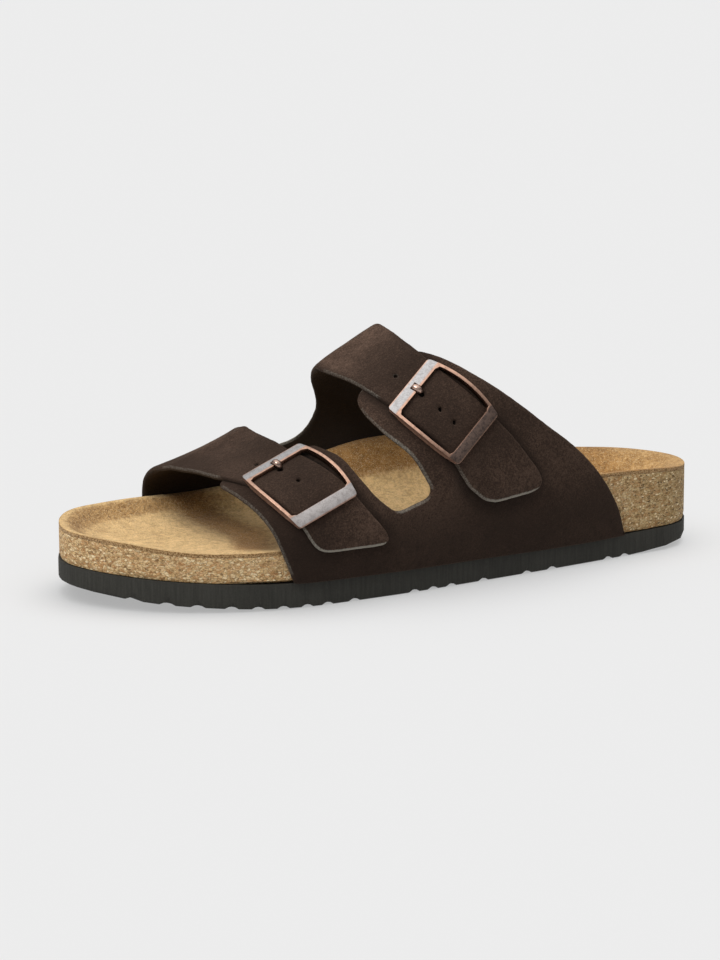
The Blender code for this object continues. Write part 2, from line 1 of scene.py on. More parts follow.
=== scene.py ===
"""Looks of a buckle sandal for the left foot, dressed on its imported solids.

Everything is in metres in the frame of the solids: +X to the toe, +Y to the outer side, +Z up.
Stations run along the shoe from the back of the heel, and girths run round the last from its
crown, 0, to the sole's edge, 100 on the outer side and -100 on the inner side. The leather is cut
flat in stations and girths and then lasted. Tables, ranges and noise sizes are in millimetres.
"""

import json
import math
from collections import namedtuple
from contextlib import contextmanager

import bpy
import numpy as np
from bpy.props import FloatProperty, FloatVectorProperty, PointerProperty
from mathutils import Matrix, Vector, geometry, noise

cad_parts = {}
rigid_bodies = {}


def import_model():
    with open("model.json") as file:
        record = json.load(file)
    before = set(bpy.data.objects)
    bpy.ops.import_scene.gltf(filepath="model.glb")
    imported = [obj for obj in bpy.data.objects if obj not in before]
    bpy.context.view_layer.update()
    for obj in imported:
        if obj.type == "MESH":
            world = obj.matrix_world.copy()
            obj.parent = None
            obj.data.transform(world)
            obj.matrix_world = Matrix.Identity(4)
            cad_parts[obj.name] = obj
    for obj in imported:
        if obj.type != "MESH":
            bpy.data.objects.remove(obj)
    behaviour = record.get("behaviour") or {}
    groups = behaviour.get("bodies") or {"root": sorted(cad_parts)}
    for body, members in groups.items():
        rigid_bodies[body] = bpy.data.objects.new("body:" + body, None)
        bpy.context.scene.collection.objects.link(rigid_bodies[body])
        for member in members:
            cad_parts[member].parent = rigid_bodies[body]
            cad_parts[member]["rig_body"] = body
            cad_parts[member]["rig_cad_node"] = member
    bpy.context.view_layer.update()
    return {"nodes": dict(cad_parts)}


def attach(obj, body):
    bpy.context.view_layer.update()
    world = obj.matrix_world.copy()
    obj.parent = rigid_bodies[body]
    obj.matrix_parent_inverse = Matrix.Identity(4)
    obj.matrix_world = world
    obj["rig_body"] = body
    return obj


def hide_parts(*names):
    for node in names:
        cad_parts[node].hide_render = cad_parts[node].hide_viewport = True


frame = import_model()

bl_info = {
    "name": "Buckle sandal looks",
    "version": (1, 0, 0),
    "blender": (4, 5, 0),
    "location": "3D View > Sidebar > Sandal",
    "description": "Suede, cork, lining, sole and metal of a buckle sandal",
    "category": "Object",
}

MM = 0.001
BODY = "root"
HEEL_AT = np.array((-139.6, 0.6, 0.0)) * MM
WELD = 0.002 * MM
SHARP = math.radians(35)
LINING_SHARP = math.radians(50)

# Walls of the leather and its last
GAP = 0.3 * MM
LEATHER = 2.4 * MM
LEATHER_FUSE = 0.6 * MM
HALF_GIRTH = 100 * MM
LAST_SQUARENESS = 0.88
INNER_SQUARENESS = 1.0
LAST_SAMPLES = 120
NORMAL_STEP = 2 * MM
SPRING_START = 190 * MM
SPRING_END = 280 * MM
SPRING_RISE = 6.2 * MM
STRAP_RISE = (-25, 27)
BETWEEN_STRAPS = 165 * MM
FLAT_BLEND = 12 * MM

# Sole: its seams, grooves and ends; an end's lift starts, stops and rises
SEAM = 0.28 * MM
LUG = 3 * MM
GROOVE_SHARE = 0.5
SOLE_BEVEL = 0.45 * MM
END_LIFTS = {"heel": (26, 0, 4.0), "toe": (250, 280, 3.2)}
TOE_REACH = 1.1 * MM
TOE_REACH_ALONG = (95, 135)
TOE_RIM = 2.0 * MM
TOE_RIM_ALONG = (103, 130)
TOE_RIM_UP = (19, 25)
TOE_DROP = 0.7
HEEL_REACH = 1.5 * MM
SOLE_HEEL_REACH = 0.9 * MM
HEEL_MIDDLE = 32 * MM
HEEL_TURN = 52
HEEL_SPREAD = 26
HEEL_RISE = 4.5 * MM
HEEL_RISE_FROM = 42 * MM
HEEL_RISE_CURVE = 1.4

# Cutting of the leather: points along its edge, points inside it, and its rounded cut edge
EDGE_STEP = 1.1 * MM
SIDE_STEPS = 48
GRAIN_STEP = 1.35 * MM
CORNER_STEPS = 6
EDGE_RINGS = ((0.0, 0.40), (0.25, 0.18), (0.65, 0.07), (1.3, 0.012))
HOLE_RADIUS = 0.85 * MM
HOLE_SIDES = 14
HOLE_RINGS = ((0.0, 0.16), (0.35, 0.03), (0.9, 0.0))
HOLE_DIMPLE = 0.28 * MM
HOLE_DIMPLE_REACH = 2.4 * MM
# Painted light on the holes' cut edges
HOLE_LIT = 0.4
EDGE_WANDER = 0.09 * MM
EDGE_WANDER_PITCH = 420
EDGE_FRESH = 0.06
EDGE_PALE = 1.3
# Painted shade on the lower half of each cut edge
EDGE_UNDER_SHADE = 0.45
SWELL_PITCH = 55
# Painted shade on the leather: its reach beside the strap ends, its most outside the rings, and its reach along
# the straps' leading edges
SHADE_REACH = 2.6 * MM
SHADE_MOST = 0.82
LIP_REACH = 1.8 * MM
TIP_RUN = 14 * MM
PRESS_LEAN = 0.5

# Buckle rings and pins; a pin's sections give its run, height and radius
RING_LENGTH = 35.0 * MM
RING_WIDTH = 29.1 * MM
RING_BAR = 5.1 * MM
RING_UPPER_BAR = 4.0 * MM
RING_RAIL = 1.4 * MM
RING_THICK = 1.8 * MM
RING_DROP = 1.2 * MM
RING_BOW = 2.0 * MM
RING_CORNER = 1.2 * MM
RING_CORNER_STEPS = 4
RING_CHAMFER = 0.55 * MM
RING_BEND_STEP = 1.5 * MM
RING_SHARP = math.radians(50)
RING_SKIN = 0.7 * MM
BAR_BORDER = 0.6 * MM
BAR_EASE = (0.1, 0.55)
NOTCH_WIDTH = 3.5 * MM
NOTCH_DEPTH = 2.2 * MM
# Painted reflection: how brushed and light each lower bar shows, the rest painted dark
LOWER_BAR_PAINTED_REFLECTION = {"front": 0.9, "rear": 0.15}
BAR_INSIDE = RING_LENGTH / 2 - RING_BAR
UPPER_INSIDE = RING_LENGTH / 2 - RING_UPPER_BAR
PRONG_HOLE_RUN = 2.0 * MM - UPPER_INSIDE
PRONG_HOLE_RADIUS = 1.2 * MM
PIN_SIDES = 12
PIN_SECTIONS = (
    (-2.3, 1.2, 1.2), (-1.2, 1.55, 1.5), (0.3, 1.65, 1.55), (1.3, 1.35, 1.4), (1.9, 0.8, 0.95), (2.15, 0.4, 0.4)
)
PIN_BRUSHED = 0.3
SEAT_SPAN = 2.6
SEAT_SAMPLES = 129

# Camera and lights
WHITE = (1.0, 1.0, 1.0)
FLOOR_SIZE = 16.0
SKY_SEEN = 0.8
KEY_WAY = (-0.30, 0.22, -0.93)
SIDE_WAY = (-0.66, -0.22, -0.73)
FLOOR_WAY = (0.35, 0.30, -1.0)
CAMERA_TURN = math.radians(28.0)
CAMERA_RISE = math.radians(11.94)
CAMERA_AWAY = 1.3543
CAMERA_TARGET = (0.14, 0.0, 0.035)
CAMERA_LENS = {"sensor_width": 36.0, "lens": 123.106, "shift_x": -0.02894, "shift_y": 0.00315}

OUTLINE = (
    (0, 0), (13.5, 24.5), (50, 32.5), (110, 41), (175, 47.5), (220, 45.5), (258.5, 26.5),
    (279, -5), (269, -34.5), (238, -49.5), (195, -51.5), (125, -37.5), (50, -33), (14, -24.5),
)
OUTLINE_SAMPLES = 720

Piece = namedtuple("Piece", "sides window base window_end front_tip rear_tip tip_reach window_reach")
Buckle = namedtuple("Buckle", "station girth station_step girth_step roll lean lift")


def tint(*shades):
    """Linear colour of a display colour given in 0 to 255."""
    return tuple(((shade / 255 + 0.055) / 1.055) ** 2.4 for shade in shades)


def smooth(knots, values, places):
    """Cubic curve through the values at their knots, read at the given places."""
    slopes = np.gradient(values, knots)
    i = np.clip(np.searchsorted(knots, places, side="right") - 1, 0, len(knots) - 2)
    span = knots[i + 1] - knots[i]
    t = (places - knots[i]) / span
    start = (1 + 2 * t) * (1 - t) ** 2 * values[i] + t * (1 - t) ** 2 * span * slopes[i]
    end = t * t * (3 - 2 * t) * values[i + 1] + t * t * (t - 1) * span * slopes[i + 1]
    return start + end


def ease(t):
    """A step from 0 to 1 with level ends."""
    t = np.clip(t, 0.0, 1.0)
    return t * t * (3 - 2 * t)


def step(values, start, end):
    """An eased step that is 0 at the start and 1 at the end, both in millimetres."""
    return ease((values / MM - start) / (end - start))


def unit(vectors):
    return vectors / np.linalg.norm(vectors, axis=-1, keepdims=True)


def lengths_along(points):
    return np.concatenate([[0.0], np.cumsum(np.linalg.norm(np.diff(points, axis=0), axis=1))])


def nearest(points, line):
    """Squared distance of each point from the nearest point of a line."""
    found = np.full(len(points), np.inf)
    for spot in line:
        found = np.minimum(found, np.sum((points - spot) ** 2, axis=1))
    return found


class Table:
    """Rows of named columns in millimetres, read by a smooth curve along the first column."""

    def __init__(self, names, *rows):
        self.names = names.split()
        self.columns = dict(zip(self.names, np.array(rows, float).T * MM))

    def read(self, name, places):
        return smooth(self.columns[self.names[0]], self.columns[name], np.asarray(places, float))


# Sole thickness and the height of the footbed's rim on both sides
SECTIONS = Table(
    "along sole rim_outer rim_inner",
    (0, 10.4, 33.5, 33.5), (35, 9.4, 36, 35), (70, 8.8, 37, 39.5), (100, 9.1, 36.6, 45.5),
    (122, 9.4, 35.5, 47.5), (142, 9.6, 33.8, 44.3), (162, 9.7, 30.8, 37), (182, 9.8, 27, 31),
    (205, 9.8, 24, 28.4), (245, 9.4, 23.8, 28.8), (280, 8.5, 26.5, 26.5),
)

# Ridge of the last
CROWN = Table(
    "along across height",
    (20, -4, 120), (60, -6, 122), (100, -8, 115), (137, -10, 95.5), (152, -11, 87.2), (167, -12.5, 77.5),
    (182, -14.5, 65.5), (196, -16, 56.5), (215, -17.5, 48.3), (234, -18, 42.2), (262, -18, 38),
)

STRAPS = Piece(
    sides=Table(
        "girth front_lead rear_trail",
        (-100, 228.5, 47.5), (-92, 228, 50.5), (-80, 227.5, 58.5), (-68, 227, 73.5), (-58, 227.5, 91),
        (-45, 228, 113), (-25, 229, 131), (0, 228.5, 135.5), (20, 225, 136.2), (34, 222, 131.6),
        (47, 216.7, 121), (60, 211.3, 108.5), (72, 206.9, 96.2), (90, 197.5, 76),
    ),
    window=Table(
        "girth front_trail rear_lead",
        (-60, 178, 155), (-45, 186.5, 152.5), (-25, 191.5, 158.5), (0, 194, 163.5), (20, 194.4, 162),
        (34, 192.5, 158.4), (47, 188.6, 151.1), (60, 183.4, 140.1), (72, 176.9, 131.6), (90, 163, 107),
    ),
    base=-100,
    window_end=(-58.5, -58.5),
    front_tip=(88, 89.7),
    rear_tip=(82, 80.3),
    tip_reach=(12.5, 6, 9, 6),
    window_reach=(13, 13),
)

QUARTER = Piece(
    sides=Table(
        "girth front_lead rear_trail",
        (15, 221, 143), (25, 222, 133), (40, 223, 117.5), (50, 221.5, 104), (60, 219.8, 88.4),
        (70, 217.5, 70.8), (80, 214.5, 58.2), (90, 211, 50), (100, 207.5, 45.8),
    ),
    window=Table(
        "girth front_trail rear_lead",
        (15, 186, 163), (25, 185, 164), (40, 183, 164.3), (50, 179, 160.6), (60, 176, 152.6),
        (70, 170.5, 146.5), (80, 160, 139),
    ),
    base=100,
    window_end=(74.5, 78),
    front_tip=(35, 35),
    rear_tip=(28, 21),
    tip_reach=(5, 6, 5, 6),
    window_reach=(6, 4),
)

BUCKLES = {
    "front": Buckle(198.16 * MM, 57.45 * MM, -4.03 * MM, 14.49 * MM, math.radians(-5), 0.035, 0.05 * MM),
    "rear": Buckle(135.45 * MM, 48.27 * MM, -9.97 * MM, 11.8 * MM, math.radians(-2), 0.087, 0.2 * MM),
}

# Spare holes of the straps: station, girth
SPARE_HOLES = ((206.5, 36.3), (198.0, 56.2), (147.8, 30.5), (137.0, 47.4), (132.6, 52.8))

# Soft troughs and swells that wear leaves in the leather: station, girth, turn, length, width, depth
STRAP_CREASES = (
    (148, -4, 0, 28, 5.0, 1.1), (208, -4, 0, 24, 6.5, 0.95), (152, 12, 80, 16, 5.0, -0.8),
    (142, 18, 82, 16, 4.0, 0.35), (205, 18, 80, 14, 6.0, -0.4), (150, -40, 20, 26, 8.0, -0.6),
)
QUARTER_CREASES = (
    (128, 82, 8, 40, 5.0, -0.5), (95, 84, 30, 22, 5.0, -0.6), (112, 90, 12, 30, 4.0, 0.4),
    (186, 84, -10, 24, 5.0, 0.4), (152, 88, 4, 34, 4.0, 0.35),
)


class Plan:
    """The footbed's outline, as an outer and an inner edge."""

    def __init__(self):
        points = np.array(OUTLINE, float) * MM
        wrapped = np.vstack([points[-3:], points, points[:4]])
        steps = np.sqrt(np.linalg.norm(np.diff(wrapped, axis=0), axis=1))
        knots = np.concatenate([[0.0], np.cumsum(steps)])
        places = np.linspace(knots[3], knots[3 + len(points)], OUTLINE_SAMPLES, endpoint=False)
        curve = np.column_stack([smooth(knots, column, places) for column in wrapped.T])
        curve = np.roll(curve, -int(np.argmin(curve[:, 0])), axis=0)
        toe = int(np.argmax(curve[:, 0]))
        self.outer = curve[: toe + 1]
        self.inner = np.vstack([curve[toe:], curve[:1]])[::-1]

    def across(self, stations, outer):
        return np.where(outer, *(np.interp(stations, *edge.T) for edge in (self.outer, self.inner)))


PLAN = Plan()


def seat(stations):
    """Height of the outsole's top."""
    run = np.clip((stations - SPRING_START) / (SPRING_END - SPRING_START), 0.0, None)
    return SPRING_RISE * run**2 + SECTIONS.read("sole", stations)


def end_lift(stations, end):
    """Height by which the outsole's underside leaves the floor at an end."""
    start, stop, rise = END_LIFTS[end]
    return rise * MM * np.clip((stations / MM - start) / (stop - start), 0, 1) ** 2


def ground(stations):
    """Height of the outsole's underside."""
    lifts = end_lift(stations, "heel") + end_lift(stations, "toe")
    return seat(stations) - SECTIONS.read("sole", stations) + lifts


def reshaped(points, heel_reach):
    """Points of the sole drawn out at the toe and at the heel's outer corner, its rim up at the toe."""
    points[:, 2] += TOE_RIM * step(points[:, 0], *TOE_RIM_ALONG) * step(points[:, 2], *TOE_RIM_UP)
    points[:, 0] += TOE_REACH * step(points[:, 0], *TOE_REACH_ALONG)
    away = points[:, :2] - HEEL_AT[:2] - np.array((HEEL_MIDDLE, 0.0))
    turn = np.degrees(np.arctan2(away[:, 1], -away[:, 0]))
    corner = np.exp(-(((turn - HEEL_TURN) / HEEL_SPREAD) ** 2)) * ease(np.hypot(*away.T) / HEEL_MIDDLE)
    points[:, :2] += heel_reach * corner[:, None] * unit(away)
    return points


def last_points(stations, girths):
    """Points of the last: up the footbed's side, then a squared quarter oval to the crown."""
    outer = girths >= 0
    edge = PLAN.across(stations, outer)[:, None]
    low = np.where(outer, *(SECTIONS.read(name, stations) for name in ("rim_outer", "rim_inner")))[:, None]
    crown = CROWN.read("across", stations)[:, None]
    top = CROWN.read("height", stations)[:, None]
    turn = np.linspace(np.pi / 2, 0, LAST_SAMPLES)
    squareness = np.where(outer, LAST_SQUARENESS, INNER_SQUARENESS)[:, None]
    flat = np.abs(np.cos(turn)) ** squareness
    steep = np.abs(np.sin(turn)) ** squareness
    across = np.hstack([crown + (edge - crown) * flat, edge])
    height = np.hstack([low + (top - low) * steep, seat(stations)[:, None] + GAP])
    steps = np.hypot(np.diff(across, axis=1), np.diff(height, axis=1))
    run = np.hstack([np.zeros_like(edge), np.cumsum(steps, axis=1)])
    place = run[:, -1] * np.minimum(np.abs(girths) / HALF_GIRTH, 1.0)
    k = np.clip((run <= place[:, None]).sum(axis=1) - 1, 0, run.shape[1] - 2)
    rows = np.arange(len(stations))
    t = (place - run[rows, k]) / (run[rows, k + 1] - run[rows, k])
    y, z = (line[rows, k] + t * (line[rows, k + 1] - line[rows, k]) for line in (across, height))
    return np.column_stack([stations, y, z]) + HEEL_AT


def last_normals(stations, girths):
    along = last_points(stations + NORMAL_STEP, girths) - last_points(stations - NORMAL_STEP, girths)
    ahead = np.minimum(girths + NORMAL_STEP, HALF_GIRTH)
    behind = np.maximum(girths - NORMAL_STEP, -HALF_GIRTH)
    return unit(np.cross(along, last_points(stations, ahead) - last_points(stations, behind)))


def strap_lift(girths):
    """The straps rise from the last onto the tabs of the outer quarter."""
    return (LEATHER - LEATHER_FUSE) * step(girths, *STRAP_RISE)


def tucked(girths):
    """1 on the open leather, falling to 0 where it meets the sole."""
    return step(np.abs(girths), 99, 95)


def strap_edge_paleness_and_shade(stations, girths):
    """The straps' cut edges are palest at their ends, kept dark by the rings as painted shade, and tucked in at
    the sole.
    """
    front = stations > BETWEEN_STRAPS
    start = np.where(front, 70, 61)
    end = np.where(front, 1.5, 1.0) * step(girths, start, start + 6)
    return (EDGE_PALE * step(girths, 40, 34) + end) * tucked(girths)


def quarter_bareness(stations, girths):
    return EDGE_PALE * tucked(girths)


def strap_painted_shade(stations, girths):
    """Painted shade on the straps: by the rings, along the front edge and along their leading edges, away from
    the crown.
    """
    rings = 0.5 * step(girths, 4, 26) * (1 - 0.55 * step(girths, 60, 74))
    front = 0.7 * step(stations, 207, 223) * (girths < 40 * MM)
    leads = (STRAPS.sides.read("front_lead", girths), STRAPS.window.read("rear_lead", girths))
    lip = 0.8 * sum(np.exp(-(((lead - stations) / LIP_REACH) ** 2)) for lead in leads)
    return np.maximum.reduce([rings, front, lip * (girths < 60 * MM)])


def quarter_shade_and_tone(stations, girths):
    """How dark the quarter is: darker overall and towards the sole, with painted shade at the front, beside the
    strap ends and inside the rings.
    """
    low = 0.32 + 0.5 * step(girths, 72, 92)
    strap_edge = resampled(piece_outline(STRAPS), 2 * EDGE_STEP)
    beside = 0.8 * np.exp(-nearest(np.column_stack([stations, girths]), strap_edge) / SHADE_REACH**2)
    shown = np.clip(low + 0.6 * step(stations, 165, 200) + beside, 0, SHADE_MOST)
    # Inside the rings the painted shade turns to a painted black pit
    return np.maximum.reduce([shown] + [on.within(stations, girths) for on in SEATS.values()])


def strap_tops(stations, girths):
    """Points on the outer face of a strap."""
    height = GAP + strap_lift(girths) + LEATHER
    return last_points(stations, girths) + last_normals(stations, girths) * height[:, None]


class BuckleSeat:
    """A buckle's own frame on its strap: along the strap, across it, and out from the leather."""

    def __init__(self, buckle):
        self.buckle = buckle
        self.shares = np.linspace(-SEAT_SPAN, SEAT_SPAN, SEAT_SAMPLES)
        back, self.middle, ahead = self.on_strap(np.array((-1.0, 0.0, 1.0)))
        self.along = unit(ahead - back)
        out = last_normals(np.array([buckle.station]), np.array([buckle.girth]))[0]
        self.across = unit(np.cross(out, self.along))
        self.out = np.cross(self.along, self.across)
        line = self.on_strap(self.shares) - self.middle
        self.runs = line @ self.along
        self.rises = line @ self.out + buckle.lean * self.runs

    def pattern(self, shares):
        """Stations and girths at so many of the buckle's steps from its middle."""
        on = self.buckle
        return on.station + shares * on.station_step, on.girth + shares * on.girth_step

    def on_strap(self, shares):
        return strap_tops(*self.pattern(shares))

    def pattern_at(self, run):
        """Station and girth of the strap at a run along the buckle."""
        return self.pattern(np.interp(run, self.runs, self.shares))

    def rise(self, runs, asides):
        """Height of the ring's bed over its middle."""
        return np.interp(runs, self.runs, self.rises) + asides * math.sin(self.buckle.roll)

    def local(self, stations, girths):
        """Strap points along, across and out from the buckle, and how far they lie beyond its ring."""
        away = strap_tops(stations, girths) - self.middle
        run, aside, up = (away @ axis for axis in (self.along, self.across, self.out))
        return run, aside, up, np.maximum(np.abs(run) - RING_LENGTH / 2, np.abs(aside) - RING_WIDTH / 2)

    def within(self, stations, girths):
        """1 inside the ring, falling to 0 under its bars and rails."""
        return step(self.local(stations, girths)[3], 0.6, -1.0)

    def press(self, stations, girths):
        """Moves that bring the leather onto the ring's own curve, fading out around it."""
        run, aside, up, beyond = self.local(stations, girths)
        share = np.where(girths > 0, 1 - ease(beyond / FLAT_BLEND), 0.0)
        eased = run * self.buckle.lean * (1 - PRESS_LEAN) * (run < 0)
        over = up - self.rise(run, aside) + eased
        return self.out * (-over * share)[:, None]

    def curled(self, stations, girths, height):
        """Moves that let the strap's end stand off beyond the ring."""
        run, aside, _, _ = self.local(stations, girths)
        near = 1 - ease((np.abs(aside) - RING_WIDTH / 2) / FLAT_BLEND)
        return self.out * (height * near * ease((run - RING_LENGTH / 2) / TIP_RUN))[:, None]

    def placed(self, flat):
        """Points drawn flat, along the strap, across it and up, bent onto the ring's bed."""
        runs, asides, heights = flat.T
        rises = self.rise(runs, asides) + self.buckle.lift
        climb = self.rise(runs + NORMAL_STEP, asides) - self.rise(runs - NORMAL_STEP, asides)
        up = unit(self.out - (climb / (2 * NORMAL_STEP))[:, None] * self.along)
        bed = np.column_stack([runs, asides, rises]) @ np.array((self.along, self.across, self.out))
        return self.middle + bed + up * heights[:, None]


SEATS = {place: BuckleSeat(buckle) for place, buckle in BUCKLES.items()}


def trimmed(points, reach):
    """A run of points shortened by a reach at its start."""
    lengths = lengths_along(points)
    first = [np.interp(reach, lengths, column) for column in points.T]
    return np.vstack([first, points[lengths > reach + WELD]])


def rounded_outline(edges, reaches):
    """Edges joined end to end, each joint rounded by its reach along both edges."""
    outline = []
    for i, edge in enumerate(edges):
        before, after = reaches[i - 1], reaches[i]
        if before:
            edge = trimmed(edge, before)
        if not after:
            outline += list(edge[:-1])
            continue
        edge = trimmed(edge[::-1], after)[::-1]
        outline += list(edge)
        corner = edges[i][-1]
        end = trimmed(edges[(i + 1) % len(edges)], after)[0]
        for t in np.arange(1, CORNER_STEPS) / CORNER_STEPS:
            outline.append((1 - t) ** 2 * edge[-1] + 2 * t * (1 - t) * corner + t * t * end)
    return np.array(outline)


def piece_outline(piece):
    """Closed flat outline of a leather piece in stations and girths."""

    def run(table, name, start, stop):
        girths = np.linspace(start * MM, stop * MM, SIDE_STEPS)
        return np.column_stack([table.read(name, girths), girths])

    sides = [
        run(piece.sides, "front_lead", piece.front_tip[0], piece.base),
        run(piece.sides, "rear_trail", piece.base, piece.rear_tip[1]),
        run(piece.window, "rear_lead", piece.rear_tip[0], piece.window_end[0]),
        run(piece.window, "front_trail", piece.window_end[1], piece.front_tip[1]),
    ]
    edges = []
    for i, side in enumerate(sides):
        following = sides[(i + 1) % len(sides)]
        edges += [side, np.linspace(side[-1], following[0], SIDE_STEPS)]
    rear, front = piece.tip_reach[:2], piece.tip_reach[2:]
    return rounded_outline(edges, [reach * MM for reach in (0, 0, *rear, *piece.window_reach, *front)])


def resampled(points, spacing):
    """A closed run of points at even steps."""
    closed = np.vstack([points, points[:1]])
    lengths = lengths_along(closed)
    places = np.linspace(0, lengths[-1], round(lengths[-1] / spacing), endpoint=False)
    return np.column_stack([np.interp(places, lengths, column) for column in closed.T])


def inward(points):
    """Unit normals of a closed run of points, to its inside."""
    ahead = np.roll(points, -1, axis=0)
    along = ahead - np.roll(points, 1, axis=0)
    area = np.sum(points[:, 0] * ahead[:, 1] - points[:, 1] * ahead[:, 0])
    return unit(np.column_stack([-along[:, 1], along[:, 0]]) * np.sign(area))


def inside(points, outline):
    """Which points lie inside a closed outline."""
    found = np.zeros(len(points), bool)
    for (x0, y0), (x1, y1) in zip(outline, np.roll(outline, -1, axis=0)):
        crosses = (y0 > points[:, 1]) != (y1 > points[:, 1])
        reach = x0 + (points[:, 1] - y0) / (y1 - y0 if y1 != y0 else 1.0) * (x1 - x0)
        found ^= crosses & (points[:, 0] < reach)
    return found


def cut_pattern(piece, holes):
    """Flat leather cut to its outline with its holes: points, triangles, edge shares and the edges' painted
    light.
    """
    outline = resampled(piece_outline(piece), EDGE_STEP)
    wander = [noise.noise(Vector((s, g, 0.0)) * EDGE_WANDER_PITCH) for s, g in outline]
    normals = inward(outline)
    outline = outline + normals * (EDGE_WANDER * np.array(wander))[:, None]
    # Painted light on the cut edges: how pale each edge shows depends on the way it faces
    ahead, down = normals.T
    lit = np.clip(1 - 0.85 * np.abs(ahead) - 0.2 * ahead, 0.05, 1) * np.where(down > 0, 0.5, 1.0)
    normals = inward(outline)
    rings = [(outline + normals * inset * MM, share) for inset, share in EDGE_RINGS]
    low, high = outline.min(axis=0), outline.max(axis=0)
    columns = np.arange(low[0], high[0], GRAIN_STEP)
    rows = np.arange(low[1], high[1], GRAIN_STEP * math.sqrt(3) / 2)
    grid = np.array([(s + (i % 2) * GRAIN_STEP / 2, g) for i, g in enumerate(rows) for s in columns])
    grid = grid[inside(grid, outline)]
    grid = grid[nearest(grid, outline) > (EDGE_RINGS[-1][0] * MM + 0.6 * GRAIN_STEP) ** 2]
    turns = np.linspace(0, 2 * np.pi, HOLE_SIDES, endpoint=False)
    circle = np.column_stack([np.cos(turns), np.sin(turns)])
    rims = []
    for station, girth, radius in holes:
        middle = np.array((station, girth))
        rims.append(middle + circle * radius)
        rings += [(middle + circle * (radius + inset * MM), share) for inset, share in HOLE_RINGS]
        reach = radius + HOLE_RINGS[-1][0] * MM + 0.5 * GRAIN_STEP
        grid = grid[nearest(grid, [middle]) > reach**2]
    points = np.vstack([ring for ring, _ in rings] + [grid])
    shares = np.concatenate([np.full(len(ring), share) for ring, share in rings] + [np.zeros(len(grid))])
    painted_light = np.full(len(points), HOLE_LIT)
    painted_light[: len(lit) * len(EDGE_RINGS)] = np.tile(lit, len(EDGE_RINGS))
    bounds = []
    first = 0
    for ring, _ in rings:
        bounds += [(first + i, first + (i + 1) % len(ring)) for i in range(len(ring))]
        first += len(ring)
    made = geometry.delaunay_2d_cdt([Vector(p / MM) for p in points], bounds, [], 0, 1e-6)
    flat = np.array([tuple(v) for v in made[0]]) * MM
    source = np.array([ids[0] if ids else -1 for ids in made[3]])
    own = source >= 0
    triangles = np.array(made[2])
    middles = flat[triangles].mean(axis=1)
    keep = inside(middles, outline)
    for rim in rims:
        keep &= ~inside(middles, rim)
    return flat, triangles[keep], np.where(own, shares[source], 0.0), np.where(own, painted_light[source], 1.0)


def worn(flat, creases):
    """Height that soft creases and swells add to flat leather."""
    height = np.zeros(len(flat))
    for station, girth, turn, length, width, depth in creases:
        x, y = (flat - np.array((station, girth)) * MM).T
        cos, sin = math.cos(math.radians(turn)), math.sin(math.radians(turn))
        along = (x * cos + y * sin) / (length * MM)
        across = (y * cos - x * sin) / (width * MM)
        height += depth * MM * np.exp(-(along**2) - across**2)
    return height


def lasted(name, piece, lift, holes, creases, puff, edge_paleness_and_shade, deep, curl):
    """A leather piece cut flat, given its thickness and lasted; its edge function gives how pale its raw edge
    shows, with painted shade by the rings on the straps.
    """
    flat, triangles, share, lit = cut_pattern(piece, holes)
    stations, girths = flat.T
    base = last_points(stations, girths)
    normals = last_normals(stations, girths)
    for on in SEATS.values():
        base = base + on.press(stations, girths) + on.curled(stations, girths, curl)
    swell = np.array([noise.fractal(Vector(p) * SWELL_PITCH, 0.9, 2.1, 3) for p in base])
    height = GAP + lift(girths) + worn(flat, creases) + puff * swell * step(np.abs(girths), 100, 80)
    dimple = np.zeros(len(flat))
    for station, girth, radius in holes:
        away = np.hypot(stations - station, girths - girth) - radius
        dimple += HOLE_DIMPLE * np.exp(-((away / HOLE_DIMPLE_REACH) ** 2) * 3)
    top = base + normals * (height + LEATHER * (1 - share) - dimple)[:, None]
    under = base + normals * (height + LEATHER * share)[:, None]
    count = len(flat)
    ends = np.concatenate([triangles[:, [0, 1]], triangles[:, [1, 2]], triangles[:, [2, 0]]])
    pairs = {tuple(pair) for pair in ends.tolist()}
    faces = triangles.tolist() + (triangles[:, ::-1] + count).tolist()
    faces += [(b, a, a + count, b + count) for a, b in pairs if (b, a) not in pairs]
    mesh = bpy.data.meshes.new(name)
    mesh.from_pydata(np.vstack([top, under]).tolist(), [], faces)
    leather = bpy.data.objects.new(name, mesh)
    bpy.context.scene.collection.objects.link(leather)
    # Pale raw cut edges with their painted highlight, the lower half in painted shade
    edge_paleness_and_light = np.clip(share / EDGE_FRESH, 0, 1) * edge_paleness_and_shade(stations, girths) * lit
    point_attribute(leather, "cut_edge", np.concatenate([edge_paleness_and_light, EDGE_UNDER_SHADE * edge_paleness_and_light]))
    point_attribute(leather, "flesh", np.repeat((0.0, 1.0), count))
    # Painted shade, with the quarter's darker tone towards the sole
    point_attribute(leather, "deep", np.tile(deep(stations, girths), 2))
    with editing(leather):
        bpy.ops.mesh.delete_loose()
        bpy.ops.mesh.normals_make_consistent(inside=False)
    return leather


def pick(piece):
    """Makes a piece the only selected and active one."""
    bpy.ops.object.select_all(action="DESELECT")
    piece.select_set(True)
    bpy.context.view_layer.objects.active = piece


@contextmanager
def editing(piece):
    """Edit mode on one piece, at first with all of it selected."""
    pick(piece)
    bpy.ops.object.mode_set(mode="EDIT")
    bpy.ops.mesh.select_all(action="SELECT")
    yield
    bpy.ops.object.mode_set(mode="OBJECT")


def named(name):
    """The active piece, given its name."""
    piece = bpy.context.active_object
    piece.name = name
    piece.data.name = name
    return piece


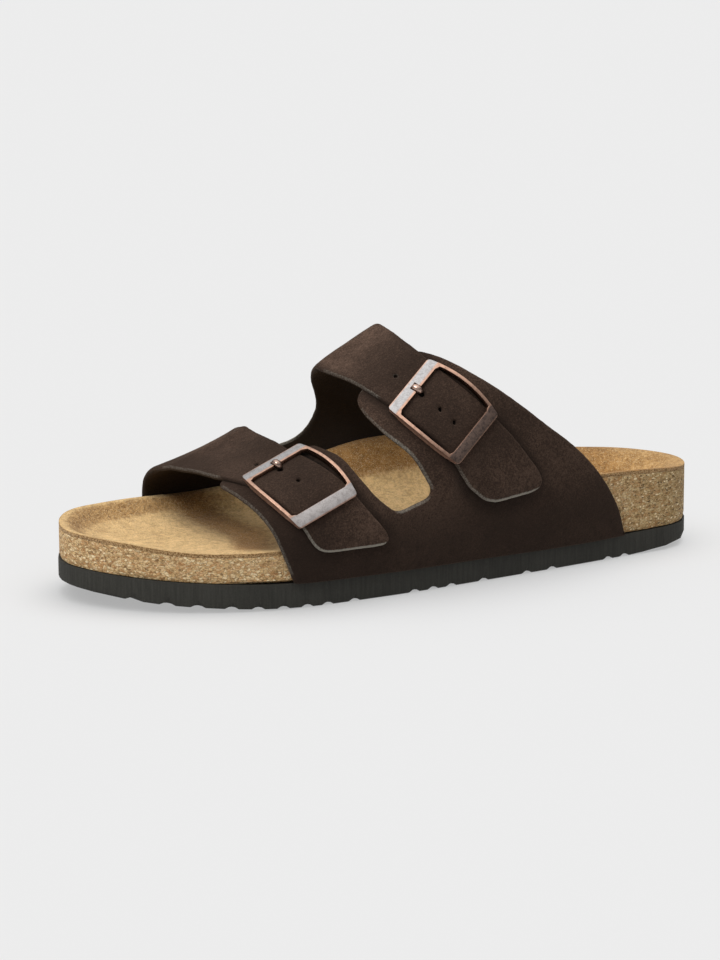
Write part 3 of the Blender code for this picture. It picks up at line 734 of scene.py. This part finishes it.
def copy_of(node, name):
    """A copy of a solid with its own mesh, its loose triangles welded and paired into quads."""
    pick(frame["nodes"][node])
    bpy.ops.object.duplicate()
    piece = named(name)
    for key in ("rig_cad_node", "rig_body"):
        del piece[key]
    piece.parent = None
    piece.data.materials.clear()
    with editing(piece):
        bpy.ops.mesh.remove_doubles(threshold=WELD)
        bpy.ops.mesh.customdata_custom_splitnormals_clear()
        bpy.ops.mesh.tris_convert_to_quads(face_threshold=math.radians(60), shape_threshold=math.radians(120))
    return piece


def select_sharp(angle):
    """Selects the sharp edges of the edited mesh."""
    bpy.ops.mesh.select_mode(type="EDGE")
    bpy.ops.mesh.select_all(action="DESELECT")
    bpy.ops.mesh.edges_select_sharp(sharpness=angle)


def bevel_sharp(piece, below):
    """Bevels the sharp edges of a piece that lie below a height at their station."""
    with editing(piece):
        select_sharp(SHARP)
    points = points_of(piece)
    for edge in piece.data.edges:
        x, _, z = points[list(edge.vertices)].mean(axis=0)
        edge.select = bool(edge.select and z < below(x - HEEL_AT[0]))
    bpy.ops.object.mode_set(mode="EDIT")
    bpy.ops.mesh.bevel(offset=SOLE_BEVEL, segments=3, affect="EDGES", clamp_overlap=True)
    bpy.ops.mesh.select_all(action="SELECT")
    bpy.ops.mesh.remove_doubles(threshold=WELD)
    bpy.ops.mesh.dissolve_degenerate(threshold=WELD)
    bpy.ops.object.mode_set(mode="OBJECT")


def subdivide(piece, levels):
    """Adds a subdivision to a piece and applies it."""
    modifier = piece.modifiers.new("SUBSURF", "SUBSURF")
    modifier.levels = levels
    modifier.render_levels = levels
    pick(piece)
    bpy.ops.object.modifier_apply(modifier=modifier.name)


def soften(piece, angle, crease, levels):
    """Subdivides a piece, its sharp edges held by a crease."""
    with editing(piece):
        select_sharp(angle)
        bpy.ops.transform.edge_crease(value=crease)
    subdivide(piece, levels)


def point_attribute(piece, name, values):
    layer = piece.data.attributes.new(name, "FLOAT", "POINT")
    layer.data.foreach_set("value", np.asarray(values, np.float32))


def points_of(piece):
    points = np.empty(len(piece.data.vertices) * 3)
    piece.data.vertices.foreach_get("co", points)
    return points.reshape(-1, 3)


def upness_of(piece):
    """How far each point of a piece faces up, from -1 to 1."""
    normals = np.empty(len(piece.data.vertices) * 3, np.float32)
    piece.data.vertex_normals.foreach_get("vector", normals)
    return normals[2::3]


def move_points(piece, points):
    piece.data.vertices.foreach_set("co", np.asarray(points, np.float32).ravel())
    piece.data.update()


def cut_across(place, normal):
    """Cuts the whole edited mesh by a plane."""
    bpy.ops.mesh.select_all(action="SELECT")
    bpy.ops.mesh.bisect(plane_co=place, plane_no=normal)


def rounded_rim(length, width):
    """Shapes the new plane of the edited mesh into a rounded rectangle of edges alone."""
    bpy.ops.transform.resize(value=(length, width, 1.0), center_override=(0, 0, 0))
    bpy.ops.mesh.bevel(offset=RING_CORNER, segments=RING_CORNER_STEPS, affect="VERTICES")
    bpy.ops.mesh.delete(type="ONLY_FACE")


def flat_ring(name):
    """A buckle ring drawn flat: two bars, two rails and the notch for the pin in the upper bar."""
    bends = np.arange(-UPPER_INSIDE + RING_BEND_STEP, BAR_INSIDE, RING_BEND_STEP)
    borders = []
    for side, within in ((-1, UPPER_INSIDE), (1, BAR_INSIDE)):
        borders += [side * run for run in (within, within + BAR_BORDER, RING_LENGTH / 2 - BAR_BORDER)]
    bpy.ops.mesh.primitive_plane_add(size=1.0)
    ring = named(name)
    with editing(ring):
        rounded_rim(RING_LENGTH, RING_WIDTH)
        bpy.ops.mesh.primitive_plane_add(size=1.0)
        rounded_rim(BAR_INSIDE + UPPER_INSIDE, RING_WIDTH - 2 * RING_RAIL)
        bpy.ops.transform.translate(value=((BAR_INSIDE - UPPER_INSIDE) / 2, 0, 0))
        bpy.ops.mesh.select_all(action="SELECT")
        bpy.ops.mesh.bridge_edge_loops()
        for run in (*bends, *borders, -UPPER_INSIDE - NOTCH_DEPTH):
            cut_across((run, 0, 0), (1, 0, 0))
        for aside in (-RING_WIDTH / 4, -NOTCH_WIDTH / 2, NOTCH_WIDTH / 2, RING_WIDTH / 4):
            cut_across((0, aside, 0), (0, 1, 0))
        bpy.ops.mesh.select_mode(type="FACE")
        bpy.ops.mesh.select_all(action="DESELECT")
    for face in ring.data.polygons:
        run, aside, _ = face.center
        face.select = abs(aside) < NOTCH_WIDTH / 2 and -UPPER_INSIDE - NOTCH_DEPTH < run < 0
    bpy.ops.object.mode_set(mode="EDIT")
    bpy.ops.mesh.delete(type="FACE")
    bpy.ops.mesh.select_all(action="SELECT")
    bpy.ops.mesh.extrude_region_move(TRANSFORM_OT_translate={"value": (0, 0, RING_THICK)})
    bpy.ops.mesh.select_all(action="SELECT")
    bpy.ops.mesh.remove_doubles(threshold=WELD)
    bpy.ops.mesh.normals_make_consistent(inside=False)
    select_sharp(RING_SHARP)
    bpy.ops.mesh.bevel(offset=RING_CHAMFER, segments=4, affect="EDGES", clamp_overlap=True)
    bpy.ops.object.mode_set(mode="OBJECT")
    return ring


def flat_pin(name):
    """A pin drawn flat: a round stub swelling and tapering over its sections."""
    sections = [(run * MM - UPPER_INSIDE, up * MM, radius * MM) for run, up, radius in PIN_SECTIONS]
    run, up, radius = sections[0]
    bpy.ops.mesh.primitive_circle_add(
        vertices=PIN_SIDES, radius=radius, fill_type="NGON", location=(run, 0, up), rotation=(0, math.pi / 2, 0)
    )
    pin = named(name)
    bpy.ops.object.transform_apply(location=True, rotation=True, scale=True)
    with editing(pin):
        for (run, up, radius), (next_run, next_up, next_radius) in zip(sections, sections[1:]):
            move = (next_run - run, 0, next_up - up)
            bpy.ops.mesh.extrude_region_move(TRANSFORM_OT_translate={"value": move})
            bpy.ops.transform.resize(value=(next_radius / radius,) * 3, center_override=(next_run, 0, next_up))
        bpy.ops.mesh.select_all(action="SELECT")
        bpy.ops.mesh.normals_make_consistent(inside=False)
    subdivide(pin, 2)
    return pin


def dress(piece, finish, slot, *nodes, angle=None):
    """Gives a finished piece its shading, its material and its place in the frame, and hides the solids it
    stands for.
    """
    pick(piece)
    if angle:
        bpy.ops.object.shade_smooth_by_angle(angle=angle)
    else:
        bpy.ops.object.shade_smooth()
    piece.data.materials.append(finish.material)
    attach(piece, BODY)
    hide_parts(*nodes)


class Value:
    """A shader socket that takes part in sums; each sum adds a Math node."""

    def __init__(self, nodes, socket):
        self.nodes = nodes
        self.socket = socket

    def sum(self, operation, *terms):
        return self.nodes.node("ShaderNodeMath", {"operation": operation}, dict(enumerate(terms)))

    def __add__(self, other):
        return self.sum("ADD", self, other)

    def __sub__(self, other):
        return self.sum("SUBTRACT", self, other)

    def __rsub__(self, other):
        return self.sum("SUBTRACT", other, self)

    def __mul__(self, other):
        return self.sum("MULTIPLY", self, other)

    def __pow__(self, other):
        return self.sum("POWER", self, other)

    __radd__ = __add__
    __rmul__ = __mul__

    def at_least(self, low):
        return self.sum("MAXIMUM", self, low)

    def between(self, low, high):
        """0 below low and 1 above high, with a smooth step between."""
        sockets = {0: self, 1: low, 2: high, 3: 0.0, 4: 1.0}
        return self.nodes.node("ShaderNodeMapRange", {"interpolation_type": "SMOOTHSTEP"}, sockets)


class Nodes:
    """A node tree, and the one way in which nodes are added to it."""

    def __init__(self, tree):
        self.tree = tree

    def node(self, kind, settings, sockets, out=0):
        """A node of a kind with its settings, and the values or links of its sockets."""
        made = self.tree.nodes.new(kind)
        for key, value in settings.items():
            if key == "stops":
                self.set_stops(made.color_ramp, value)
            else:
                setattr(made, key, value)
        for key, value in sockets.items():
            self.feed(made.inputs[key], value)
        return Value(self, made.outputs[out])

    def set_stops(self, ramp, stops):
        while len(ramp.elements) < len(stops):
            ramp.elements.new(1.0)
        for element, (position, colour) in zip(ramp.elements, stops):
            element.position = position
            element.color = (*colour, 1.0)

    def feed(self, socket, value):
        if isinstance(value, Value):
            self.tree.links.new(value.socket, socket)
        else:
            socket.default_value = (*value, 1.0) if socket.type == "RGBA" else value

    def axis(self, name, vector):
        return self.node("ShaderNodeSeparateXYZ", {}, {0: vector}, name)


class Finish(Nodes):
    """A Principled material and the nodes that feed it."""

    def __init__(self, name, **sockets):
        self.material = bpy.data.materials.new(name)
        self.material.use_nodes = True
        super().__init__(self.material.node_tree)
        self.set(**sockets)
        self.place = self.node("ShaderNodeTexCoord", {}, {}, "Object")

    def set(self, **sockets):
        shader = self.tree.nodes["Principled BSDF"]
        for key, value in sockets.items():
            self.feed(shader.inputs[key.replace("_", " ")], value)

    def stretched(self, x, y, z):
        """Object coordinates scaled along each axis."""
        return self.node("ShaderNodeMapping", {}, {"Vector": self.place, "Scale": Vector((x, y, z))})

    def noise(self, size, detail=2.0, roughness=0.5, at=None, out=0):
        """Noise with features of about a size."""
        scale = 1 / (size * MM)
        sockets = {"Vector": at or self.place, "Scale": scale, "Detail": detail, "Roughness": roughness}
        return self.node("ShaderNodeTexNoise", {}, sockets, out)

    def cells(self, size, at, out, feature="F1"):
        """Cells of about a size."""
        sockets = {"Vector": at, "Scale": 1 / (size * MM)}
        return self.node("ShaderNodeTexVoronoi", {"feature": feature}, sockets, out)

    def mix(self, share, first, second):
        return self.node("ShaderNodeMix", {"data_type": "RGBA"}, {0: share, 6: first, 7: second}, 2)

    def ramp(self, value, *stops):
        return self.node("ShaderNodeValToRGB", {"stops": stops}, {0: value})

    def attribute(self, name):
        return self.node("ShaderNodeAttribute", {"attribute_name": name}, {}, 2)

    def bump(self, height, distance, strength):
        sockets = {"Height": height, "Distance": distance * MM, "Strength": strength}
        self.set(Normal=self.node("ShaderNodeBump", {}, sockets))


def colour(name, description, default):
    return FloatVectorProperty(name=name, description=description, subtype="COLOR", default=default)


def amount(name, description, default, subtype="NONE"):
    return FloatProperty(name=name, description=description, subtype=subtype, default=default)


class SandalLeather(bpy.types.PropertyGroup):
    """Suede of the straps and of the outer quarter."""

    suede: colour("Suede", "Colour of the brushed face", tint(61, 47, 39))
    # Shade is the darkest nap and also the colour of the painted shade
    shade: colour("Shade", "Colour where the nap lies dark", tint(36, 27, 22))
    raised: colour("Raised nap", "Colour where the nap stands up", tint(98, 78, 66))
    edge: colour("Cut edge", "Colour of the raw cut edges", tint(136, 131, 121))
    flesh: colour("Inside", "Colour of the inner face", tint(38, 32, 27))
    puff: amount("Unevenness", "Height of the soft unevenness", 0.18 * MM, "DISTANCE")
    curl: amount("Curl", "How far the strap ends stand off", 1.3 * MM, "DISTANCE")


class SandalSole(bpy.types.PropertyGroup):
    """Cork, lining and outsole."""

    cork: colour("Cork", "Middle colour of the cork", tint(214, 178, 126))
    cork_dark: colour("Dark granules", "Colour of the bark in the cork", tint(110, 78, 48))
    cork_light: colour("Light granules", "Colour of the palest cork", tint(240, 220, 180))
    lining: colour("Lining", "Colour of the suede lining", tint(224, 188, 132))
    # Colour of the painted shade on the lining's walls
    lining_wall_shade: colour("Lining wall", "Colour of the lining on steep walls", tint(166, 122, 68))
    rubber: colour("Outsole", "Colour of the outsole", tint(62, 61, 56))


class SandalMetal(bpy.types.PropertyGroup):
    """Plating of the buckles."""

    copper: colour("Copper", "Colour of the plating", tint(204, 164, 142))
    silver: colour("Brushed bars", "Colour where the bars are brushed", tint(184, 182, 182))
    # Patina also colours the painted dark reflection and shade
    patina_and_shade: colour("Patina", "Colour of the darkened plating", tint(92, 72, 62))


class SandalStage(bpy.types.PropertyGroup):
    """Floor, light and camera."""

    floor: colour("Floor", "Colour of the floor", (0.45, 0.45, 0.45))
    glow: amount("Floor glow", "Light of the floor itself, as on a light table", 0.397)
    sky: amount("Sky", "Strength of the light overhead", 1.5)
    focus: amount("Focus", "How much the sky gathers overhead", 2.2)
    horizon: amount("Horizon", "Strength of the light around", 0.05)
    sun: amount("Key light", "Strength of the key light on the shoe", 1.2)
    side: amount("Side light", "Strength of the light from the toe", 1.4)
    softness: amount("Softness", "Width of the key light", 0.4, "ANGLE")
    lamp: amount("Floor light", "Strength of the light on the floor", 0.78)
    spread: amount("Spread", "Width of the floor light", 0.8, "ANGLE")


def suede_finish(looks):
    finish = Finish("suede", Roughness=0.92, Specular_IOR_Level=0.1, Sheen_Weight=0.16, Sheen_Roughness=0.5)
    finish.set(Sheen_Tint=tint(178, 150, 128))
    hand = finish.noise(40)
    brushed = finish.noise(5, 3.0, 0.6)
    nap = finish.noise(1.5, 3.0, 0.7)
    grain = finish.noise(0.6, 2.0, 0.7)
    tone = (hand * 0.4 + brushed * 0.2 + nap * 0.3 + grain * 0.5).between(0.46, 0.94)
    face = finish.ramp(tone, (0.0, looks.shade), (0.5, looks.suede), (1.0, looks.raised))
    # Painted shade mottled by the nap, then a painted black pit inside the rings
    deep = finish.attribute("deep")
    face = finish.mix(deep * (0.2 + brushed * 0.8 + nap * 0.8), face, looks.shade)
    face = finish.mix(deep.between(SHADE_MOST, 1.0), face, tint(18, 14, 12))
    face = finish.mix(finish.attribute("flesh"), face, looks.flesh)
    # Raw cut edges with their painted highlight
    frayed_edge_and_highlight = (finish.attribute("cut_edge") * (0.25 + grain * 1.2)).between(0.25, 0.85)
    finish.set(Base_Color=finish.mix(frayed_edge_and_highlight, face, looks.edge))
    finish.bump(grain * 0.6 + nap * 0.9, 0.5, 0.9)
    return finish


def cork_finish(looks):
    finish = Finish("cork", Specular_IOR_Level=0.3)
    warp = finish.noise(2.2, 2.0, 0.6, out="Color")
    flat = finish.stretched(0.8, 0.8, 1.35)
    place = finish.node("ShaderNodeMix", {"data_type": "VECTOR"}, {0: 0.0014, 4: flat, 5: warp}, 1)
    granules = finish.cells(1.15, place, "Color")
    chips = finish.axis("X", granules)
    rust = finish.axis("Z", granules)
    crumbs = finish.axis("Y", finish.cells(0.6, place, "Color"))
    flecks = finish.axis("Z", finish.cells(1.4, place, "Color"))
    seams = finish.cells(1.15, place, "Distance", "DISTANCE_TO_EDGE")
    patches = finish.noise(12)
    fine = finish.noise(0.5, 2.0, 0.7)
    face = finish.ramp(
        chips * 0.46 + crumbs * 0.36 + fine * 0.3 + patches * 0.2 - 0.12,
        (0.12, looks.cork_dark),
        (0.34, tint(174, 140, 94)),
        (0.55, looks.cork),
        (0.78, tint(222, 196, 152)),
        (0.97, looks.cork_light),
    )
    face = finish.mix((1 - seams.between(0.0, 0.10)) * 0.65, face, tint(92, 66, 38))
    face = finish.mix(rust.between(0.62, 0.8) * 0.4, face, tint(182, 124, 72))
    # Painted shade: the cork darker and olive towards the heel, which the light reaches less
    heel = 1 - finish.axis("X", finish.place).between(-0.13, -0.06)
    face = finish.mix(heel * 0.34, face, tint(104, 92, 50))
    dots = 1 - finish.cells(1.4, place, "Distance").between(0.22, 0.42)
    face = finish.mix(dots * flecks.between(0.66, 0.7) * (0.35 + heel * 0.55), face, tint(70, 50, 30))
    face = finish.mix(dots * (1 - flecks.between(0.18, 0.22)) * 0.9, face, looks.cork_light)
    finish.set(Base_Color=face, Roughness=0.62 + crumbs * 0.25)
    finish.bump(seams.between(0.0, 0.2) * 0.5 + crumbs * 0.5 + fine * 0.3, 0.35, 0.8)
    return finish


def lining_finish(looks):
    finish = Finish("lining", Roughness=0.95, Specular_IOR_Level=0.1, Sheen_Weight=0.1)
    patches = finish.noise(14, 3.0, 0.6)
    mottle = finish.noise(4, 3.0, 0.65)
    nap = finish.noise(1.3, 3.0, 0.7)
    grain = finish.noise(0.5, 2.0, 0.7)
    # This mark brings painted shade on the walls, the front strap's painted shadow and the darker heel; the
    # mottle below darkens more there too
    wall = finish.attribute("wall")
    face = finish.mix(wall, looks.lining, looks.lining_wall_shade)
    tone = (patches * 0.4 + mottle * 0.7 + nap * 1.0).between(0.78, 1.32)
    face = finish.mix((1 - tone) * (0.55 + wall * 0.4), face, tint(124, 88, 46))
    face = finish.mix(grain.between(0.5, 0.75) * 0.45, face, tint(246, 224, 182))
    crumbs = finish.mix(grain.between(0.42, 0.58), tint(112, 84, 52), tint(190, 156, 112))
    finish.set(Base_Color=finish.mix(finish.attribute("rim") * 0.85, face, crumbs))
    finish.bump(grain * 0.5 + nap * 1.0 + mottle * 1.0, 0.8, 1.0)
    return finish


def outsole_finish(looks):
    finish = Finish("outsole", Roughness=0.8, Specular_IOR_Level=0.25)
    streaks = finish.noise(0.9, 2.0, 0.6, finish.stretched(1.0, 1.0, 0.06))
    specks = finish.noise(0.6, 2.0, 0.7)
    tone = (streaks * 0.6 + specks * 0.4 + finish.noise(30) * 0.4).between(0.4, 1.0)
    finish.set(Base_Color=finish.mix(tone, tint(45, 44, 40), looks.rubber))
    finish.bump(streaks * 0.7 + specks * 0.4, 0.25, 0.7)
    return finish


def metal_finish(looks):
    finish = Finish("copper")
    streaks = finish.noise(0.5, 2.0, 0.6)
    wear = finish.noise(1.8, 3.0, 0.65)
    bar = finish.attribute("brushed")
    # This mark is painted light: outer flanks and the lower bars' inner edges shown as lit, less metallic
    # copper
    flank = finish.attribute("flank")
    plating = finish.mix(wear.between(0.42, 0.7) * 0.4, looks.copper, looks.patina_and_shade)
    painted_lit_copper = finish.mix(wear.between(0.35, 0.65), tint(150, 104, 82), tint(196, 152, 128))
    plating = finish.mix(flank, plating, painted_lit_copper)
    # Painted dark reflection on the lower bars and painted shade on the rails' inner sides
    painted_dark_metal = finish.mix(streaks.between(0.42, 0.6) * 0.9, looks.patina_and_shade, tint(50, 42, 38))
    plating = finish.mix(finish.attribute("dark") * (0.8 + wear.between(0.45, 0.6) * 0.2), plating, painted_dark_metal)
    scuffs = (streaks * 0.5 + wear * 0.5).between(0.4, 0.65) * 0.6
    face = finish.mix(bar, plating, finish.mix(scuffs, looks.silver, tint(136, 130, 127)))
    finish.set(Base_Color=face, Roughness=0.22 + wear * 0.16 + bar * 0.08, Metallic=1 - flank * 0.65)
    finish.bump(streaks * 0.5 + wear * 0.15, 0.06, 0.6)
    return finish


class SANDAL_OT_outsole(bpy.types.Operator):
    """Dresses the outsole: softened edges on the lugs and the side."""

    bl_idname = "sandal.outsole"
    bl_label = "Outsole"

    def execute(self, context):
        piece = copy_of("outsole", "outsole_foam")
        points = points_of(piece)
        stations = points[:, 0] - HEEL_AT[0]
        height = points[:, 2]
        over = height - ground(stations)
        low = np.clip(1 - over / (2 * LUG), 0, 1)
        height -= np.where(over < LUG, over * (1 - GROOVE_SHARE), 0.0)
        height += np.where(height > seat(stations) - LUG / 2, SEAM, 0.0)
        rise = HEEL_RISE * np.clip(1 - stations / HEEL_RISE_FROM, 0, 1) ** HEEL_RISE_CURVE
        height += np.maximum(rise - ground(stations), 0) * (stations < HEEL_RISE_FROM) * low
        height -= TOE_DROP * end_lift(stations, "toe") * low
        move_points(piece, reshaped(points, SOLE_HEEL_REACH))
        bevel_sharp(piece, lambda station: seat(station) - LUG / 2)
        dress(piece, outsole_finish(context.scene.sandal_sole), "outsole", "outsole", angle=SHARP)
        return {"FINISHED"}


class SANDAL_OT_footbed(bpy.types.Operator):
    """Dresses the cork footbed with a rough pressed surface."""

    bl_idname = "sandal.footbed"
    bl_label = "Cork footbed"

    def execute(self, context):
        piece = copy_of("footbed", "footbed_cork")
        move_points(piece, reshaped(points_of(piece), HEEL_REACH))
        soften(piece, SHARP, 0.9, 3)
        dress(piece, cork_finish(context.scene.sandal_sole), "cork", "footbed", angle=SHARP)
        return {"FINISHED"}


class SANDAL_OT_insole(bpy.types.Operator):
    """Dresses the suede lining of the footbed."""

    bl_idname = "sandal.insole"
    bl_label = "Lining"

    def execute(self, context):
        piece = copy_of("insole", "insole_lining")
        points = points_of(piece)
        points[:, 2] -= np.where(upness_of(piece) < -0.1, SEAM, 0.0)
        move_points(piece, reshaped(points, HEEL_REACH))
        soften(piece, LINING_SHARP, 0.75, 2)
        along, across, height = points_of(piece).T
        upness = upness_of(piece)
        toe = step(along, 40, 80)
        heel = step(along, -40, -95)
        arch = (1 - toe) * (1 - heel)
        # Painted shade on the lining's steep walls, less at the toe and the heel, painted shade on the upper
        # arch wall, and a painted shadow of the front strap
        steep = (np.clip(1 - upness, 0, 1) - 0.24 * arch) / (0.18 - 0.06 * arch)
        wall = ease(steep) * (1 - 0.35 * toe - 0.2 * heel)
        arch_wall_shade = arch * step(height, 34.5, 37)
        # Darker towards the heel, less so at its back
        heel_darkening = heel * (0.95 - 0.35 * step(along, -112, -130))
        station = along - HEEL_AT[0] + 0.1 * across - 0.5 * np.maximum(across, 0)
        front_strap_shadow = step(station, 191.3, 199.3) * step(station, 214.3, 208.3) * step(across, 46, 26)
        dark = np.maximum.reduce([wall, arch_wall_shade, front_strap_shadow]) * (1 - heel) + heel_darkening
        point_attribute(piece, "wall", dark)
        point_attribute(piece, "rim", ease((0.75 - upness) / 0.4))
        dress(piece, lining_finish(context.scene.sandal_sole), "lining", "insole", angle=LINING_SHARP)
        return {"FINISHED"}


class SANDAL_OT_upper(bpy.types.Operator):
    """Cuts and lasts the outer quarter and the straps."""

    bl_idname = "sandal.upper"
    bl_label = "Suede upper"

    def execute(self, context):
        looks = context.scene.sandal_leather
        finish = suede_finish(looks)
        holes = [(station * MM, girth * MM, HOLE_RADIUS) for station, girth in SPARE_HOLES]
        holes += [(*on.pattern_at(PRONG_HOLE_RUN), PRONG_HOLE_RADIUS) for on in SEATS.values()]
        straps = lasted(
            "upper_straps", STRAPS, strap_lift, holes, STRAP_CREASES,
            looks.puff, strap_edge_paleness_and_shade, strap_painted_shade, looks.curl,
        )
        quarter = lasted(
            "upper_quarter", QUARTER, np.zeros_like, [], QUARTER_CREASES,
            looks.puff, quarter_bareness, quarter_shade_and_tone, 0.0,
        )
        for piece in (straps, quarter):
            dress(piece, finish, "suede", "upper")
        return {"FINISHED"}


class SANDAL_OT_buckles(bpy.types.Operator):
    """Models the buckle rings and their pins, and bends them onto the straps."""

    bl_idname = "sandal.buckles"
    bl_label = "Buckles"

    def mark(self, ring, painted_light):
        """Marks where a flat ring is brushed, where its lower bar and the rails' inner sides are painted dark,
        and where its outer flanks and the lower bar's inner edge take painted light; the last argument tells
        how brushed its lower bar shows, as a painted reflection.
        """
        run, aside, up = points_of(ring).T
        reach = np.abs(run)
        lower = run > 0
        within = np.where(run < 0, UPPER_INSIDE, BAR_INSIDE)
        bar = step(reach - within, *BAR_EASE) * step(RING_LENGTH / 2 - reach, *BAR_EASE)
        bar *= up > RING_THICK - WELD
        side = ease((RING_THICK - RING_CHAMFER / 2 - up) / (1.0 * MM))
        outward = (reach > RING_LENGTH / 2 - RING_SKIN) | (np.abs(aside) > RING_WIDTH / 2 - RING_SKIN)
        # Painted highlight along the lower bar's inner edge
        painted_inner_highlight = 0.6 * lower * (reach > within - 0.1 * MM) * (reach < within + BAR_BORDER)
        point_attribute(ring, "brushed", bar * np.where(run < 0, 1.0, painted_light))
        point_attribute(ring, "dark", np.maximum(bar * np.where(lower, 1 - painted_light, 0.0), side * ~outward))
        point_attribute(ring, "flank", np.maximum(side * outward, painted_inner_highlight * (1 - side)))

    def execute(self, context):
        finish = metal_finish(context.scene.sandal_metal)
        for place, on in SEATS.items():
            ring = flat_ring(f"buckle_ring_{place}")
            self.mark(ring, LOWER_BAR_PAINTED_REFLECTION[place])
            flat = points_of(ring)
            run, aside, up = flat.T
            rail = step(np.abs(aside) - RING_WIDTH / 2 + RING_RAIL, -0.4, 0.0)
            free = step(RING_LENGTH / 2 - np.abs(run), 2.0, 7.0)
            up -= RING_DROP * rail * free * np.clip(1 - up / RING_THICK, 0, 1)
            aside += RING_BOW * np.sign(aside) * rail * (1 - (2 * run / RING_LENGTH) ** 2)
            move_points(ring, on.placed(flat))
            dress(ring, finish, "copper", f"buckle_frame_{place}", angle=SHARP)
            pin = flat_pin(f"buckle_pin_{place}")
            move_points(pin, on.placed(points_of(pin)))
            for name, share in (("brushed", PIN_BRUSHED), ("dark", 0.0), ("flank", 0.0)):
                point_attribute(pin, name, np.full(len(pin.data.vertices), share))
            dress(pin, finish, "copper", f"buckle_prong_{place}")
        return {"FINISHED"}


class SANDAL_OT_stage(bpy.types.Operator):
    """Floor, light and camera."""

    bl_idname = "sandal.stage"
    bl_label = "Stage"

    def lamp(self, name, way, strength, width, lit):
        """A soft distant lamp that shines one way, on some of the pieces."""
        bpy.ops.object.light_add(type="SUN", location=-Vector(way))
        lamp = named(name)
        lamp.data.energy = strength
        lamp.data.angle = width
        lamp.rotation_mode = "QUATERNION"
        lamp.rotation_quaternion = Vector(way).to_track_quat("-Z", "Y")
        group = bpy.data.collections.new(f"lit_by_{name}")
        for piece in lit:
            group.objects.link(piece)
        lamp.light_linking.receiver_collection = group
        return lamp

    def sky(self, world, stage):
        """Light from all around, brightest overhead, that the camera sees as an even grey."""
        world.use_nodes = True
        sky = Nodes(world.node_tree)
        way = sky.node("ShaderNodeTexCoord", {}, {}, "Generated")
        light = sky.axis("Z", way).at_least(0.0) ** stage.focus * stage.sky + stage.horizon
        seen = sky.node("ShaderNodeLightPath", {}, {}, "Is Camera Ray")
        background = sky.tree.nodes["Background"].inputs
        sky.feed(background["Color"], WHITE)
        shown = sky.node("ShaderNodeMix", {}, {"Factor": seen, "A": light, "B": SKY_SEEN})
        sky.feed(background["Strength"], shown)

    def execute(self, context):
        stage = context.scene.sandal_stage
        shoe = [piece for piece in context.scene.objects if piece.type == "MESH"]
        bpy.ops.mesh.primitive_plane_add(size=FLOOR_SIZE)
        floor = named("floor")
        paper = Finish("paper", Roughness=0.9, Specular_IOR_Level=0.0, Emission_Strength=stage.glow)
        paper.set(Base_Color=stage.floor, Emission_Color=WHITE)
        floor.data.materials.append(paper.material)
        context.scene.world = bpy.data.worlds.new("studio")
        self.sky(context.scene.world, stage)
        key = self.lamp("key_light", KEY_WAY, stage.sun, stage.softness, shoe)
        key.visible_glossy = False
        self.lamp("side_light", SIDE_WAY, stage.side, stage.softness, shoe)
        self.lamp("floor_light", FLOOR_WAY, stage.lamp, stage.spread, [floor])
        level = math.cos(CAMERA_RISE)
        back = Vector((math.sin(CAMERA_TURN) * level, math.cos(CAMERA_TURN) * level, math.sin(CAMERA_RISE)))
        target = Vector(CAMERA_TARGET) + Vector(HEEL_AT)
        bpy.ops.object.camera_add(location=target + back * CAMERA_AWAY)
        camera = named("camera")
        camera.rotation_mode = "QUATERNION"
        camera.rotation_quaternion = (-back).to_track_quat("-Z", "Y")
        for key, value in CAMERA_LENS.items():
            setattr(camera.data, key, value)
        context.scene.camera = camera
        context.scene.view_settings.view_transform = "Standard"
        return {"FINISHED"}


STEPS = (
    SANDAL_OT_outsole,
    SANDAL_OT_footbed,
    SANDAL_OT_insole,
    SANDAL_OT_upper,
    SANDAL_OT_buckles,
    SANDAL_OT_stage,
)
GROUPS = {
    "sandal_leather": SandalLeather,
    "sandal_sole": SandalSole,
    "sandal_metal": SandalMetal,
    "sandal_stage": SandalStage,
}


class SANDAL_PT_panel(bpy.types.Panel):
    """Lists the sandal's colours and the steps that dress it."""

    bl_idname = "SANDAL_PT_panel"
    bl_label = "Buckle sandal"
    bl_space_type = "VIEW_3D"
    bl_region_type = "UI"
    bl_category = "Sandal"

    def draw(self, context):
        for key, group in GROUPS.items():
            box = self.layout.box()
            for name in group.__annotations__:
                box.prop(getattr(context.scene, key), name)
        for step_class in STEPS:
            self.layout.operator(step_class.bl_idname)


def register():
    for kind in (*GROUPS.values(), *STEPS, SANDAL_PT_panel):
        bpy.utils.register_class(kind)
    for key, group in GROUPS.items():
        setattr(bpy.types.Scene, key, PointerProperty(type=group))


def unregister():
    for key in GROUPS:
        delattr(bpy.types.Scene, key)
    for kind in (SANDAL_PT_panel, *reversed(STEPS), *reversed(GROUPS.values())):
        bpy.utils.unregister_class(kind)


def main():
    register()
    bpy.ops.sandal.outsole()
    bpy.ops.sandal.footbed()
    bpy.ops.sandal.insole()
    bpy.ops.sandal.upper()
    bpy.ops.sandal.buckles()
    bpy.ops.sandal.stage()


if __name__ == "__main__":
    main()
